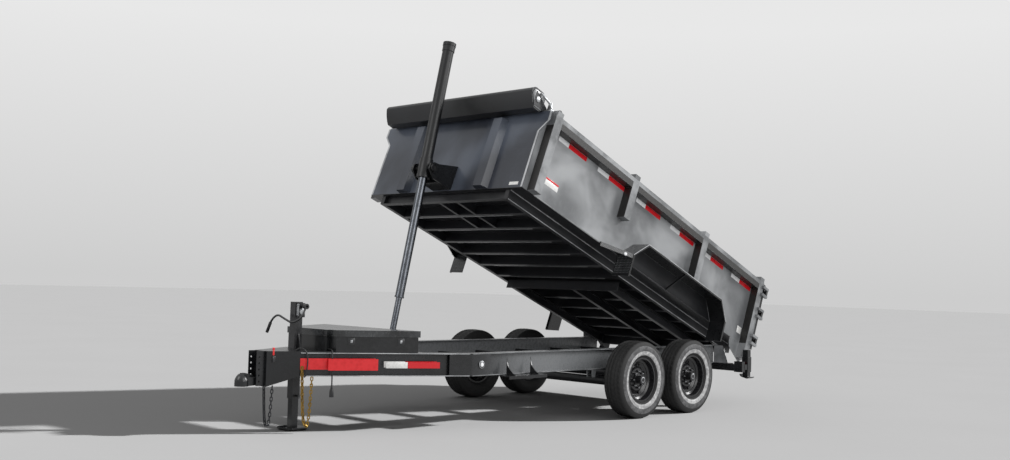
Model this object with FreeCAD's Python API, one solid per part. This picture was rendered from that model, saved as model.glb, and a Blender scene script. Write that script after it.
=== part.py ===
import FreeCAD, Part
import math
import os

# Tandem-axle dump trailer with its bed raised, standing on its drop-leg jack.
# Millimetres, +X forward to the hitch, +Y to the trailer's left, +Z up, floor at Z = 0.
# The chassis is drawn from the point on the floor midway between the axles.
# The bed is drawn in its own frame: u forward, v square to its floor, both from a
# reference point on the underside of its side rails, and is then tilted on its hinge.
# The last step moves everything so that the origin is under the middle of the whole trailer.

Vec = FreeCAD.Vector

# Wheels and axles
TYRE_R = 390.0
TYRE_W = 235.0
TYRE_SHOULDER = 34.0
RIM_R = 212.0
RIM_W = 178.0
RIM_FLANGE_T = 5.0
RIM_FLANGE_H = 12.0
DISH_OFFSET = 12.0
HUB_R = 62.0
HUB_CAP_R = 44.0
HUB_CAP_OUT = 62.0
LUG_CIRCLE_R = 82.5
LUG_R = 11.0
LUG_COUNT = 8
RIM_WINDOW_COUNT = 8
OVER_TYRES = 2580.0
TYRE_TO_RAIL = 140.0
AXLE_SPACING = 890.0
AXLE_TUBE_R = 44.0
AXLE_DROP = 48.0
SPINDLE_R = 26.0
BRAKE_DRUM_R = 152.0
BRAKE_DRUM_W = 70.0
RUNNING_GAP = 0.06
SEAT_GAP = 0.3

# Main rails and tongue, all of one wide-flange beam
RAIL_TOP = 685.0
RAIL_H = 203.0
FLANGE_W = 100.0
FLANGE_T = 8.0
WEB_T = 6.0
RAIL_OUT_Y = OVER_TYRES / 2 - TYRE_W - TYRE_TO_RAIL
RAIL_FRONT_X = 2530.0
RAIL_REAR_X = -1460.0
TONGUE_ANGLE = 27.0
TAN_TONGUE = math.tan(math.radians(TONGUE_ANGLE))
COS_TONGUE = math.cos(math.radians(TONGUE_ANGLE))
NOSE_REAR_HALF = 216.95
TONGUE_END_X = RAIL_FRONT_X + (RAIL_OUT_Y - NOSE_REAR_HALF) / TAN_TONGUE
BOX_PLATE_LEN = 235.0
CORNER_PLATE_LEN = 210.0

# Nose and coupler
NOSE_PLATE = 10.0
NOSE_LEN = 250.0
NOSE_FRONT_X = TONGUE_END_X + NOSE_LEN
NOSE_FRONT_H = 290.0
CHANNEL_W = 130.0
CHANNEL_D = 78.0
CHANNEL_T = 9.0
CHANNEL_H = 292.0
CHANNEL_HOLE_R = 8.5
CHANNEL_HOLE_PITCH = 50.8
CHANNEL_HOLES = 5
BALL_R = 29.9
BALL_X = NOSE_FRONT_X + 180.0
BALL_Z = 440.0
SHELL_T = 28.0
COUPLER_BOTTOM = 402.0

# Jack
JACK_BEHIND = 100.0
JACK_X = TONGUE_END_X - JACK_BEHIND
JACK_TUBE = 76.0
JACK_WALL = 6.0
JACK_TOP = 1098.0
JACK_BOTTOM = 272.0
LEG_TUBE = 63.4
LEG_WALL = 6.0
LEG_TOP = 745.0
FOOT_SIZE = 210.0
FOOT_T = 12.0

# Toolbox
BOX_FLOOR_T = 4.0
BOX_H = 180.0
BOX_TO_JACK = 139.0
BOX_FRONT_X = JACK_X - BOX_TO_JACK
BOX_STEP = 36.0
BOX_STEP_X = BOX_FRONT_X - BOX_STEP
BASE_AHEAD = 225.0
BASE_X = RAIL_FRONT_X + BASE_AHEAD
BOX_REAR_X = BASE_X + 220.0
BOX_NARROW_Y = 262.0
BOX_INSET = 6.0
LID_H = 56.0
LID_T = 4.0
LID_GAP = 6.0

# Bed hinge and tilt
TILT = 21.7
PIVOT_X = -1419.0
PIVOT_Z = 585.0
PIVOT_R = 25.0
BED_REST_GAP = 6.0
PIVOT_U = 13.0

# Bed floor frame
SIDE_RAIL_OUT_Y = RAIL_OUT_Y
SIDE_RAIL_H = 97.0
SIDE_RAIL_W = 50.0
SILL_H = 97.0
SILL_W = 46.0
SILL_T = 5.0
FRAME_FRONT_U = 3880.0
FRAME_REAR_U = -262.0
SILL_PITCH = 312.0
FLOOR_T = 5.0

# Lift frame under the rear half of the bed
LIFT_DEPTH = 100.0
LIFT_FRONT_U = 1870.0
LIFT_REAR_U = -45.0
LIFT_RAIL_W = 50.0
LIFT_RAIL_Y = RAIL_OUT_Y - 215.0
LIFT_PLATE_Y = RAIL_OUT_Y - 110.0

# Bed walls
WALL_OUT_Y = SIDE_RAIL_OUT_Y + 167.0
WALL_T = 5.0
WALL_TOP = 897.0
WALL_FRONT_U = 3905.0
POST_D = 94.0
POST_OUT_Y = WALL_OUT_Y + POST_D
POST_W = 104.0
TOP_RAIL_H = 108.0
FRONT_POST_U = 3832.0
REAR_POST_U = -165.0
REAR_POST_BOTTOM = -75.0
FLARE_START = 690.0
FLARE_END = 795.0
FRONT_RIB_Y = 555.0
FRONT_RIB_W = 165.0
FRONT_RIB_D = 72.0
SKIRT_LOW_V = -121.0
SKIRT_KNEE = (15.0, -10.0)
SKIRT_FRONT_U = 43.0
POCKET_H = 46.0
POCKET_L = 84.0
POCKET_WALL = 6.0

# Fender
FENDER_FRONT_U = 2345.0
FENDER_REAR_U = 498.0
FENDER_TOP = 313.0
FENDER_BOTTOM = -119.0
FENDER_CORNER_U = 200.0
FENDER_CORNER_V = 200.0
FENDER_REAR_CORNER_U = 172.0
FENDER_OUT_Y = OVER_TYRES / 2
FENDER_T = 5.0
FENDER_LIP = 24.0
STEP_TIP_U = 2660.0
STEP_EDGE = 45.0

# Cylinder
TRUNNION_U = WALL_FRONT_U + 288.0
TRUNNION_V = 205.0
TRUNNION_R = 22.0
BASE_Z = 565.0
BARREL_R = 57.0
BARREL_BORE = 50.0
BARREL_TOP = 1311.0
COLLAR_R = 66.0
COLLAR_HALF = 95.0
STAGE1_R = 41.5
STAGE1_BORE = 37.5
STAGE1_BOTTOM = 1289.0
STAGE1_LEN = 1375.0
SLEEVE_R = 36.0
SLEEVE_BORE = 31.5
SLEEVE_BOTTOM = 728.0
SLEEVE_LEN = 1350.0
STAGE2_R = 29.0
STAGE2_LEN = 1590.0
EYE_R = 30.0
EYE_W = 56.0

# Doors
DOOR_T = 56.0
DOOR_SKIN = 5.0
DOOR_GAP = 6.0
DOOR_BOTTOM = 84.0
HINGE_R = 15.0
HINGE_PIN_R = 8.0
KNUCKLE_H = 60.0
DOOR_TOP = WALL_TOP - 6.0
KNUCKLES = (DOOR_BOTTOM + 70.0, (DOOR_BOTTOM + DOOR_TOP) / 2, DOOR_TOP - 130.0)
HINGE_OUT_Y = POST_OUT_Y + 16.0


def box(x0, x1, y0, y1, z0, z1):
    """Block between two corners."""
    return Part.makeBox(x1 - x0, y1 - y0, z1 - z0, Vec(x0, y0, z0))


def face_of(points):
    """Flat face inside a closed outline."""
    return Part.Face(Part.makePolygon([Vec(*p) for p in points] + [Vec(*points[0])]))


def plate_xz(points, y0, y1):
    """Plate whose outline is given in X and Z, from y0 to y1."""
    return face_of([(x, y0, z) for x, z in points]).extrude(Vec(0, y1 - y0, 0))


def plate_xy(points, z0, z1):
    """Plate whose outline is given in X and Y, from z0 to z1."""
    return face_of([(x, y, z0) for x, y in points]).extrude(Vec(0, 0, z1 - z0))


def plate_yz(points, x0, x1):
    """Plate whose outline is given in Y and Z, from x0 to x1."""
    return face_of([(x0, y, z) for y, z in points]).extrude(Vec(x1 - x0, 0, 0))


def rod(start, end, radius, bore=0.0):
    """Round bar or pipe from one point to another."""
    axis = Vec(*end) - Vec(*start)
    bar = Part.makeCylinder(radius, axis.Length, Vec(*start), axis)
    if bore > 0:
        bar = bar.cut(Part.makeCylinder(bore, axis.Length, Vec(*start), axis))
    return bar


def fuse(shapes):
    """One solid from pieces that touch."""
    whole = shapes[0]
    if len(shapes) > 1:
        whole = whole.fuse(shapes[1:])
    return whole.removeSplitter()


def mirror_y(shape):
    """The same piece on the other side of the trailer."""
    return shape.mirror(Vec(0, 0, 0), Vec(0, 1, 0))


def both_sides(shape):
    """A left piece and its right twin as two solids."""
    return Part.makeCompound([shape, mirror_y(shape)])


def turned(shape, angle, centre, axis):
    """A copy turned about an axis through a point."""
    copy = shape.copy()
    copy.rotate(centre, axis, angle)
    return copy


def moved(shape, x, y, z):
    """A copy moved by a distance."""
    copy = shape.copy()
    copy.translate(Vec(x, y, z))
    return copy


# Bed frame to chassis frame

PIVOT_V = PIVOT_Z - RAIL_TOP - BED_REST_GAP
PIVOT = Vec(PIVOT_X, 0, PIVOT_Z)


def bed_to_chassis(shape):
    """Lay the bed on its hinge and raise it to its tilt."""
    flat = moved(shape, PIVOT_X - PIVOT_U, 0, PIVOT_Z - PIVOT_V)
    return turned(flat, -TILT, PIVOT, Vec(0, 1, 0))


def bed_point(u, y, v):
    """Place of a bed point with the bed raised."""
    angle = math.radians(TILT)
    du = u - PIVOT_U
    dv = v - PIVOT_V
    return Vec(PIVOT_X + du * math.cos(angle) - dv * math.sin(angle), y,
               PIVOT_Z + du * math.sin(angle) + dv * math.cos(angle))


# Main rails and tongue

def beam(length):
    """Wide-flange beam along +X from 0, outer flange edge at Y = 0, top at Z = 0."""
    mid = -FLANGE_W / 2
    half_web = WEB_T / 2
    low = -RAIL_H
    outline = [(0, 0), (0, -FLANGE_T), (mid + half_web, -FLANGE_T), (mid + half_web, low + FLANGE_T),
               (0, low + FLANGE_T), (0, low), (-FLANGE_W, low), (-FLANGE_W, low + FLANGE_T),
               (mid - half_web, low + FLANGE_T), (mid - half_web, -FLANGE_T),
               (-FLANGE_W, -FLANGE_T), (-FLANGE_W, 0)]
    return plate_yz(outline, 0, length)


def tongue_y(x):
    """Outer face of the left tongue beam at a station."""
    return RAIL_OUT_Y - (x - RAIL_FRONT_X) * TAN_TONGUE


def web_plate(length, start):
    """Closing plate between the flange edges, drawn like the beam."""
    return box(start, start + length, -WEB_T, 0, -RAIL_H + FLANGE_T, -FLANGE_T)


HANGER_Z = RAIL_TOP - RAIL_H
SPRING_Y = RAIL_OUT_Y - FLANGE_W / 2
SPRING_W = 50.0
SPRING_T = 34.0
SPRING_SPAN = 330.0
EYE_Z = 425.0
SPRING_EYE_R = 17.0
# station of each hanger from the middle between the axles, half length along X
HANGERS = [(AXLE_SPACING / 2 + SPRING_SPAN, 34.0), (0.0, 46.0), (-AXLE_SPACING / 2 - SPRING_SPAN, 34.0)]


def hanger(x, half):
    """Spring hanger: two cheeks under the rail, joined by a pad."""
    pieces = [box(x - half, x + half, SPRING_Y - SPRING_W / 2 - 12, SPRING_Y + SPRING_W / 2 + 12,
                  HANGER_Z - 8, HANGER_Z)]
    for side in (-1, 1):
        y = SPRING_Y + side * (SPRING_W / 2 + 8)
        outline = [(x - half, HANGER_Z), (x + half, HANGER_Z), (x + 24, EYE_Z - 26), (x - 24, EYE_Z - 26)]
        pieces.append(plate_xz(outline, y - 4, y + 4))
    return fuse(pieces)


def make_main_rail():
    """Left rail with its closing plates at the front corner and its spring hangers."""
    length = RAIL_FRONT_X - RAIL_REAR_X + FLANGE_W
    rail = moved(beam(length), RAIL_REAR_X, RAIL_OUT_Y, RAIL_TOP)
    rail = rail.common(rail_side_block())
    corner = plate_xz([(RAIL_REAR_X - 1, RAIL_TOP + 1), (PIVOT_X - 12, RAIL_TOP + 1), (PIVOT_X - 12, RAIL_TOP),
                       (RAIL_REAR_X - 1, RAIL_TOP - 48)], 0, RAIL_OUT_Y + 1)
    rail = rail.cut(corner)
    plate = moved(web_plate(BOX_PLATE_LEN, RAIL_FRONT_X - BOX_PLATE_LEN), 0, RAIL_OUT_Y, RAIL_TOP)
    return fuse([rail, plate] + [hanger(x, half) for x, half in HANGERS])


def rail_side_block():
    """Everything behind the mitre."""
    size = 9000.0
    block = box(-size, 0, -size, size, -size, size)
    block = turned(block, -TONGUE_ANGLE / 2, Vec(0, 0, 0), Vec(0, 0, 1))
    return moved(block, RAIL_FRONT_X, RAIL_OUT_Y, 0)


def make_tongue_beam():
    """Left beam of the A-frame from the rail's mitre to the nose."""
    length = (TONGUE_END_X - RAIL_FRONT_X) / COS_TONGUE
    lead = FLANGE_W
    drawn = fuse([beam(length + lead), web_plate(CORNER_PLATE_LEN + lead, 0)])
    drawn = moved(drawn, -lead, 0, 0)
    drawn = turned(drawn, -TONGUE_ANGLE, Vec(0, 0, 0), Vec(0, 0, 1))
    drawn = moved(drawn, RAIL_FRONT_X, RAIL_OUT_Y, RAIL_TOP)
    return drawn.cut(rail_side_block())


# Nose and coupler

def make_nose():
    """Welded nose: two side plates that deepen forward, a top plate and a front plate."""
    start_x = TONGUE_END_X - 260
    end_x = NOSE_FRONT_X
    bottom_rear = RAIL_TOP - RAIL_H
    bottom_front = RAIL_TOP - NOSE_FRONT_H
    out = NOSE_PLATE / COS_TONGUE
    front_y = tongue_y(end_x)
    side_outline = [(TONGUE_END_X, bottom_rear), (end_x, bottom_front), (end_x, RAIL_TOP), (TONGUE_END_X, RAIL_TOP)]
    slab = plate_xz(side_outline, -RAIL_OUT_Y, RAIL_OUT_Y)
    side = plate_xy([(TONGUE_END_X, tongue_y(TONGUE_END_X)), (end_x, front_y),
                     (end_x, front_y - out), (TONGUE_END_X, tongue_y(TONGUE_END_X) - out)],
                    bottom_front, RAIL_TOP).common(slab)
    top = plate_xy([(start_x, tongue_y(start_x)), (end_x, front_y), (end_x, -front_y),
                    (start_x, -tongue_y(start_x))], RAIL_TOP, RAIL_TOP + NOSE_PLATE)
    front = box(end_x - NOSE_PLATE, end_x, -front_y, front_y, bottom_front, RAIL_TOP)
    low_rear = box(TONGUE_END_X - 6, TONGUE_END_X, -tongue_y(TONGUE_END_X) + 1, tongue_y(TONGUE_END_X) - 1,
                   bottom_rear, RAIL_TOP)
    half = JACK_TUBE / 2
    hole = box(JACK_X - half, JACK_X + half, -half, half, RAIL_TOP - 1, RAIL_TOP + NOSE_PLATE + 1)
    nose = fuse([side, mirror_y(side), top.cut(hole), front, low_rear])
    beam = make_tongue_beam()
    return nose.cut([beam, mirror_y(beam)])


def make_coupler_channel():
    """Upright channel with rows of holes that sets the coupler's height."""
    back = NOSE_FRONT_X
    low = RAIL_TOP + NOSE_PLATE - CHANNEL_H
    half = CHANNEL_W / 2
    web = box(back, back + CHANNEL_T, -half, half, low, low + CHANNEL_H)
    flange = box(back, back + CHANNEL_D, half - CHANNEL_T, half, low, low + CHANNEL_H)
    channel = fuse([web, flange, mirror_y(flange)])
    hole_x = back + CHANNEL_D - 24
    for index in range(CHANNEL_HOLES):
        z = low + 36 + index * CHANNEL_HOLE_PITCH
        channel = channel.cut(rod((hole_x, -half - 1, z), (hole_x, half + 1, z), CHANNEL_HOLE_R))
    return channel


def make_ball_coupler():
    """Cast coupler: a dome over the ball, a neck and a heel bolted in the channel."""
    dome_r = BALL_R + SHELL_T
    crown = 505.0
    profile = Part.Wire([
        Part.makeLine(Vec(0, 0, COUPLER_BOTTOM), Vec(dome_r, 0, COUPLER_BOTTOM)),
        Part.makeLine(Vec(dome_r, 0, COUPLER_BOTTOM), Vec(dome_r, 0, BALL_Z + 5)),
        Part.Arc(Vec(dome_r, 0, BALL_Z + 5), Vec(dome_r * 0.74, 0, BALL_Z + 45),
                 Vec(24, 0, crown)).toShape(),
        Part.makeLine(Vec(24, 0, crown), Vec(0, 0, crown)),
        Part.makeLine(Vec(0, 0, crown), Vec(0, 0, COUPLER_BOTTOM))])
    dome = Part.Face(profile).revolve(Vec(0, 0, 0), Vec(0, 0, 1), 360)
    dome = moved(dome, BALL_X, 0, 0)
    heel_x = NOSE_FRONT_X + CHANNEL_T
    heel_half = CHANNEL_W / 2 - CHANNEL_T
    neck = plate_xz([(heel_x, COUPLER_BOTTOM + 8), (BALL_X, COUPLER_BOTTOM), (BALL_X, BALL_Z + 42),
                     (heel_x + 70, BALL_Z + 30), (heel_x, BALL_Z + 34)], -40, 40)
    heel = box(heel_x, heel_x + 62, -heel_half, heel_half, COUPLER_BOTTOM + 8, BALL_Z + 34)
    latch = plate_xz([(BALL_X - 66, crown - 36), (BALL_X + 4, crown - 6), (BALL_X + 10, crown + 6),
                      (BALL_X - 20, crown + 8), (BALL_X - 96, crown - 10), (BALL_X - 96, crown - 22)], -14, 14)
    body = fuse([dome, neck, heel, latch])
    socket = Part.makeSphere(BALL_R, Vec(BALL_X, 0, BALL_Z))
    mouth = rod((BALL_X, 0, COUPLER_BOTTOM - 1), (BALL_X, 0, BALL_Z), BALL_R)
    return body.cut(fuse([socket, mouth]))


# Jack

def square_tube(x, y, size, wall, z0, z1):
    """Upright square tube."""
    half = size / 2
    outer = box(x - half, x + half, y - half, y + half, z0, z1)
    inner = half - wall
    return outer.cut(box(x - inner, x + inner, y - inner, y + inner, z0, z1))


CASE_D = 46.0
CASE_H = 120.0


def make_jack_housing():
    """Outer tube of the drop-leg jack with its gear case, side gusset and pin collar."""
    half = JACK_TUBE / 2
    tube = square_tube(JACK_X, 0, JACK_TUBE, JACK_WALL, JACK_BOTTOM, JACK_TOP)
    cap = box(JACK_X - half, JACK_X + half, -half, half, JACK_TOP, JACK_TOP + 12)
    case_box = box(JACK_X - half + 8, JACK_X + half - 8, half, half + CASE_D, JACK_TOP - CASE_H, JACK_TOP + 4)
    shaft = rod((JACK_X, half + CASE_D, JACK_TOP - 24), (JACK_X, half + 2 * CASE_D, JACK_TOP - 24), 11)
    gusset = plate_yz([(half, RAIL_TOP + NOSE_PLATE), (half + 46, RAIL_TOP + NOSE_PLATE),
                       (half + 8, RAIL_TOP + 150), (half, RAIL_TOP + 150)], JACK_X - 5, JACK_X + 5)
    pin = rod((JACK_X, half, JACK_BOTTOM + 26), (JACK_X, half + 46, JACK_BOTTOM + 26), 10)
    return fuse([tube, cap, case_box, shaft, gusset, mirror_y(gusset), pin])


def pipe_path(points, radius):
    """Round bar bent through a list of points, each bend with the largest arc its runs allow."""
    pts = [Vec(*p) for p in points]
    edges = []
    last = pts[0]
    bends = []
    for index in range(1, len(pts) - 1):
        before = pts[index] - pts[index - 1]
        after = pts[index + 1] - pts[index]
        run = 0.45 * min(before.Length, after.Length)
        start = pts[index] - before.normalize() * run
        end = pts[index] + after.normalize() * run
        half_turn = before.getAngle(after) / 2
        bend_r = run / math.tan(half_turn)
        toward = (after - before).normalize()
        centre = pts[index] + toward * (bend_r / math.cos(half_turn))
        middle = centre - toward * bend_r
        bends.append(round(bend_r))
        edges.append(Part.makeLine(last, start))
        edges.append(Part.Arc(start, middle, end).toShape())
        last = end
    edges.append(Part.makeLine(last, pts[-1]))
    print("bend radii of a", 2 * radius, "mm bar:", bends)
    wire = Part.Wire(edges)
    tangent = pts[1] - pts[0]
    section = Part.Wire(Part.makeCircle(radius, pts[0], tangent))
    return wire.makePipeShell([section], True, False)


CRANK_EYE = (JACK_X, JACK_TUBE / 2 + 80, JACK_TOP - 24)
# folded crank from its eye on the gear shaft to the end of its grip
CRANK_ROUTE = [(JACK_X + 8, CRANK_EYE[1] + 22, CRANK_EYE[2] - 16), (JACK_X + 50, 150, JACK_TOP - 120),
               (JACK_X + 88, 70, JACK_TOP - 172), (JACK_X + 100, -20, JACK_TOP - 140),
               (JACK_X + 112, -120, JACK_TOP - 100), (JACK_X + 116, -200, JACK_TOP - 150),
               (JACK_X + 118, -262, JACK_TOP - 262)]


def make_jack_crank():
    """Folding crank handle, bent round the front of the jack."""
    eye = rod((CRANK_EYE[0], CRANK_EYE[1], CRANK_EYE[2]), (CRANK_EYE[0], CRANK_EYE[1] + 34, CRANK_EYE[2]), 24, 11)
    return fuse([eye, pipe_path(CRANK_ROUTE, 9)])


def make_jack_leg():
    """Inner leg with its foot plate."""
    leg = square_tube(JACK_X, 0, LEG_TUBE, LEG_WALL, FOOT_T, LEG_TOP)
    half = FOOT_SIZE / 2
    lip = 26.0
    foot = box(JACK_X - half + lip, JACK_X + half - lip, -half + lip, half - lip, 0, FOOT_T)
    wings = []
    for turn in range(4):
        wing = plate_xz([(half - lip, 0), (half, 16), (half, 16 + FOOT_T), (half - lip, FOOT_T)],
                        -half + lip, half - lip)
        wings.append(moved(turned(wing, 90 * turn, Vec(0, 0, 0), Vec(0, 0, 1)), JACK_X, 0, 0))
    return fuse([leg, foot] + wings)


# Toolbox

def toolbox_outline(inset):
    """Plan of the toolbox: a narrow front and a wide part that follows the tongue beams."""
    narrow = BOX_NARROW_Y - inset
    step_x = BOX_STEP_X - inset
    side = BOX_INSET + inset / COS_TONGUE
    rear_x = BOX_REAR_X + inset
    left = [(BOX_FRONT_X - inset, narrow), (step_x, narrow), (step_x, tongue_y(step_x) - side),
            (rear_x, tongue_y(rear_x) - side)]
    return left + [(x, -y) for x, y in reversed(left)]


def make_toolbox():
    """Open steel box on top of the tongue beams."""
    outer = plate_xy(toolbox_outline(0), RAIL_TOP + NOSE_PLATE, RAIL_TOP + NOSE_PLATE + BOX_H)
    inner = plate_xy(toolbox_outline(BOX_FLOOR_T), RAIL_TOP + NOSE_PLATE + BOX_FLOOR_T,
                     RAIL_TOP + NOSE_PLATE + BOX_H + 1)
    pads = box(BOX_REAR_X, TONGUE_END_X - 260, -tongue_y(BOX_REAR_X) + BOX_INSET,
               tongue_y(BOX_REAR_X) - BOX_INSET, RAIL_TOP, RAIL_TOP + NOSE_PLATE)
    pads = pads.common(plate_xy(toolbox_outline(0), RAIL_TOP, RAIL_TOP + NOSE_PLATE))
    barrel = rod((LID_HINGE_X, -LID_HINGE_HALF, LID_HINGE_Z), (LID_HINGE_X, LID_HINGE_HALF, LID_HINGE_Z), LID_HINGE_R)
    leaf = box(LID_HINGE_X, BOX_REAR_X, -LID_HINGE_HALF, LID_HINGE_HALF, LID_HINGE_Z - LID_HINGE_R, LID_HINGE_Z)
    return fuse([outer.cut(inner), pads, barrel, leaf])


LID_TOP = RAIL_TOP + NOSE_PLATE + BOX_H + SEAT_GAP + LID_T
LID_BOTTOM = LID_TOP - LID_H
LID_HINGE_R = 8.0
LID_HINGE_X = BOX_REAR_X - LID_HINGE_R - 1
LID_HINGE_Z = RAIL_TOP + NOSE_PLATE + BOX_H - LID_HINGE_R
LID_HINGE_HALF = 420.0


def make_toolbox_lid():
    """Folded lid that laps over the box on three sides, open at the rear for its hinge."""
    outer = plate_xy(toolbox_outline(-LID_GAP - LID_T), LID_BOTTOM, LID_TOP)
    inside = toolbox_outline(-LID_GAP)
    inner = plate_xy(inside, LID_BOTTOM - 1, LID_TOP - LID_T)
    rear_x, half = inside[3]
    rear = box(rear_x - LID_T - 1, rear_x + 1, -half, half, LID_BOTTOM - 1, LID_TOP - LID_T)
    return outer.cut(inner).cut(rear)


def make_power_unit():
    """Battery and pump in the toolbox, as plain blocks."""
    floor = RAIL_TOP + NOSE_PLATE + BOX_FLOOR_T
    length = BOX_STEP_X - BOX_REAR_X
    half = tongue_y(BOX_STEP_X) - BOX_INSET - BOX_FLOOR_T
    rear = BOX_REAR_X + 0.1 * length
    tall = BOX_H * 2 / 3
    battery = box(rear, rear + 0.5 * length, 0.36 * half, 0.86 * half, floor, floor + tall)
    tank = box(rear, rear + 0.68 * length, -0.94 * half, -0.44 * half, floor, floor + tall)
    pump_r = 0.15 * half
    pump_z = floor + pump_r * 1.06
    pump = rod((rear + 0.12 * length, 0, pump_z), (rear + 0.55 * length, 0, pump_z), pump_r)
    feet = box(rear + 0.15 * length, rear + 0.52 * length, -0.09 * half, 0.09 * half, floor, floor + 0.4 * pump_r)
    return Part.makeCompound([battery, tank, fuse([pump, feet])])


# Chassis cross members, steps, tail and cylinder base

WEB_IN_Y = RAIL_OUT_Y - FLANGE_W / 2 - WEB_T / 2
# front face of each cross channel, its depth; all sit on the lower flanges
CROSS_CHANNELS = [(2440, 150.0), (1880, 76.0), (1290, 76.0), (720, 76.0), (60, 76.0), (-560, 76.0), (-1140, 76.0)]
CROSS_FLANGE = 42.0
CROSS_T = 6.0


def cross_channel(x, depth):
    """One channel between the rail webs, open to the rear."""
    low = RAIL_TOP - RAIL_H + FLANGE_T
    web = box(x - CROSS_T, x, -WEB_IN_Y, WEB_IN_Y, low, low + depth)
    foot = box(x - CROSS_FLANGE, x, -WEB_IN_Y, WEB_IN_Y, low, low + CROSS_T)
    return fuse([web, foot, moved(foot, 0, 0, depth - CROSS_T)])


def make_cross_members():
    """The ladder's cross channels, as solids that don't touch."""
    return Part.makeCompound([cross_channel(x, depth) for x, depth in CROSS_CHANNELS])


STEP_BOARD = (RAIL_FRONT_X - 360.0, RAIL_FRONT_X - 880.0)
STEP_X = (STEP_BOARD[0] - 95.0, STEP_BOARD[1] + 100.0)
STEP_OUT = 128.0
STEP_BOTTOM = 470.0


def make_side_steps():
    """Step on each rail: a board with a turned edge on two curved brackets."""
    near = RAIL_OUT_Y
    board = box(STEP_BOARD[1], STEP_BOARD[0], near, near + STEP_OUT, STEP_BOTTOM, STEP_BOTTOM + 8)
    edge = box(STEP_BOARD[1], STEP_BOARD[0], near + STEP_OUT - 8, near + STEP_OUT, STEP_BOTTOM - 22, STEP_BOTTOM)
    pieces = [board, edge]
    for x in STEP_X:
        outline = Part.Wire([
            Part.makeLine(Vec(x, near, STEP_BOTTOM + 8), Vec(x, near + STEP_OUT - 6, STEP_BOTTOM + 8)),
            Part.Arc(Vec(x, near + STEP_OUT - 6, STEP_BOTTOM + 8), Vec(x, near + 38, STEP_BOTTOM + 62),
                     Vec(x, near, STEP_BOTTOM + 165)).toShape(),
            Part.makeLine(Vec(x, near, STEP_BOTTOM + 165), Vec(x, near, STEP_BOTTOM + 8))])
        pieces.append(moved(Part.Face(outline).extrude(Vec(8, 0, 0)), -4, 0, 0))
    return both_sides(fuse(pieces))


EAR_Y = LIFT_RAIL_Y + LIFT_RAIL_W / 2 + 3
EAR_T = 12.0
TAIL_Z0 = 400.0
TAIL_H = 76.0
TAIL_X = RAIL_REAR_X
TAIL_D = 64.0
TAIL_HALF = POST_OUT_Y - 26.0
LAMP_BOX_W = 104.0
STAB_TUBE = 76.0
STAB_WALL = 6.0
STAB_LEG = 63.4
STAB_Y = POST_OUT_Y + 8.0 + STAB_TUBE / 2
STAB_X = TAIL_X - 150.0
STAB_TOP = 560.0
STAB_BOTTOM = 390.0
STAB_LEG_TOP = 640.0
STAB_FOOT_Z = 330.0
STAB_FOOT_HALF = (60.0, 62.0)
STAB_FOOT_TURN = 14.0
WING_X = PIVOT_X + 11.0
WING_T = 8.0


def make_tail_frame():
    """Rear cross tube with hinge ears, stabilizer tubes and lamp boxes."""
    tube = box(TAIL_X - TAIL_D, TAIL_X, -TAIL_HALF, TAIL_HALF, TAIL_Z0, TAIL_Z0 + TAIL_H)
    pieces = [tube]
    upper = RAIL_TOP - RAIL_H
    for side in (1, -1):
        link = box(TAIL_X - 20, TAIL_X + 120, RAIL_OUT_Y - FLANGE_W, RAIL_OUT_Y, TAIL_Z0 + TAIL_H, upper)
        foot = box(TAIL_X - 20, TAIL_X + 120, RAIL_OUT_Y - FLANGE_W, RAIL_OUT_Y, TAIL_Z0 + TAIL_H - 10, TAIL_Z0 + TAIL_H)
        ear = plate_xz([(TAIL_X - 40, TAIL_Z0 + TAIL_H), (PIVOT_X + 70, TAIL_Z0 + TAIL_H), (PIVOT_X + 70, PIVOT_Z - 30),
                        (PIVOT_X + 34, PIVOT_Z + 26), (PIVOT_X - 34, PIVOT_Z + 26)], EAR_Y, EAR_Y + EAR_T)
        ear = ear.cut(rod((PIVOT_X, 0, PIVOT_Z), (PIVOT_X, RAIL_OUT_Y, PIVOT_Z), PIVOT_R + RUNNING_GAP))
        ear_foot = box(TAIL_X - 40, PIVOT_X + 70, EAR_Y, EAR_Y + EAR_T, TAIL_Z0 + 20, TAIL_Z0 + TAIL_H)
        stab = square_tube(STAB_X, STAB_Y, STAB_TUBE, STAB_WALL, STAB_BOTTOM, STAB_TOP)
        arm = box(STAB_X + STAB_TUBE / 2, TAIL_X - TAIL_D + 8, STAB_Y - STAB_TUBE / 2 + 4, STAB_Y + STAB_TUBE / 2 - 4,
                  TAIL_Z0 + 16, TAIL_Z0 + TAIL_H)
        lamp_box = box(TAIL_X - TAIL_D + 6, TAIL_X, TAIL_HALF, TAIL_HALF + LAMP_BOX_W, TAIL_Z0 - 10, TAIL_Z0 + 110)
        wing = plate_yz([(RAIL_OUT_Y, TAIL_Z0 + TAIL_H), (RAIL_OUT_Y + 185, TAIL_Z0 + TAIL_H),
                         (RAIL_OUT_Y + 120, RAIL_TOP), (RAIL_OUT_Y, RAIL_TOP)], WING_X, WING_X + WING_T)
        shelf = box(TAIL_X - TAIL_D, WING_X + WING_T, RAIL_OUT_Y, RAIL_OUT_Y + 185, TAIL_Z0 + TAIL_H,
                    TAIL_Z0 + TAIL_H + WING_T)
        for piece in (link, foot, ear, ear_foot, stab, arm, lamp_box, wing, shelf):
            pieces.append(piece if side > 0 else mirror_y(piece))
    return fuse(pieces)


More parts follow.
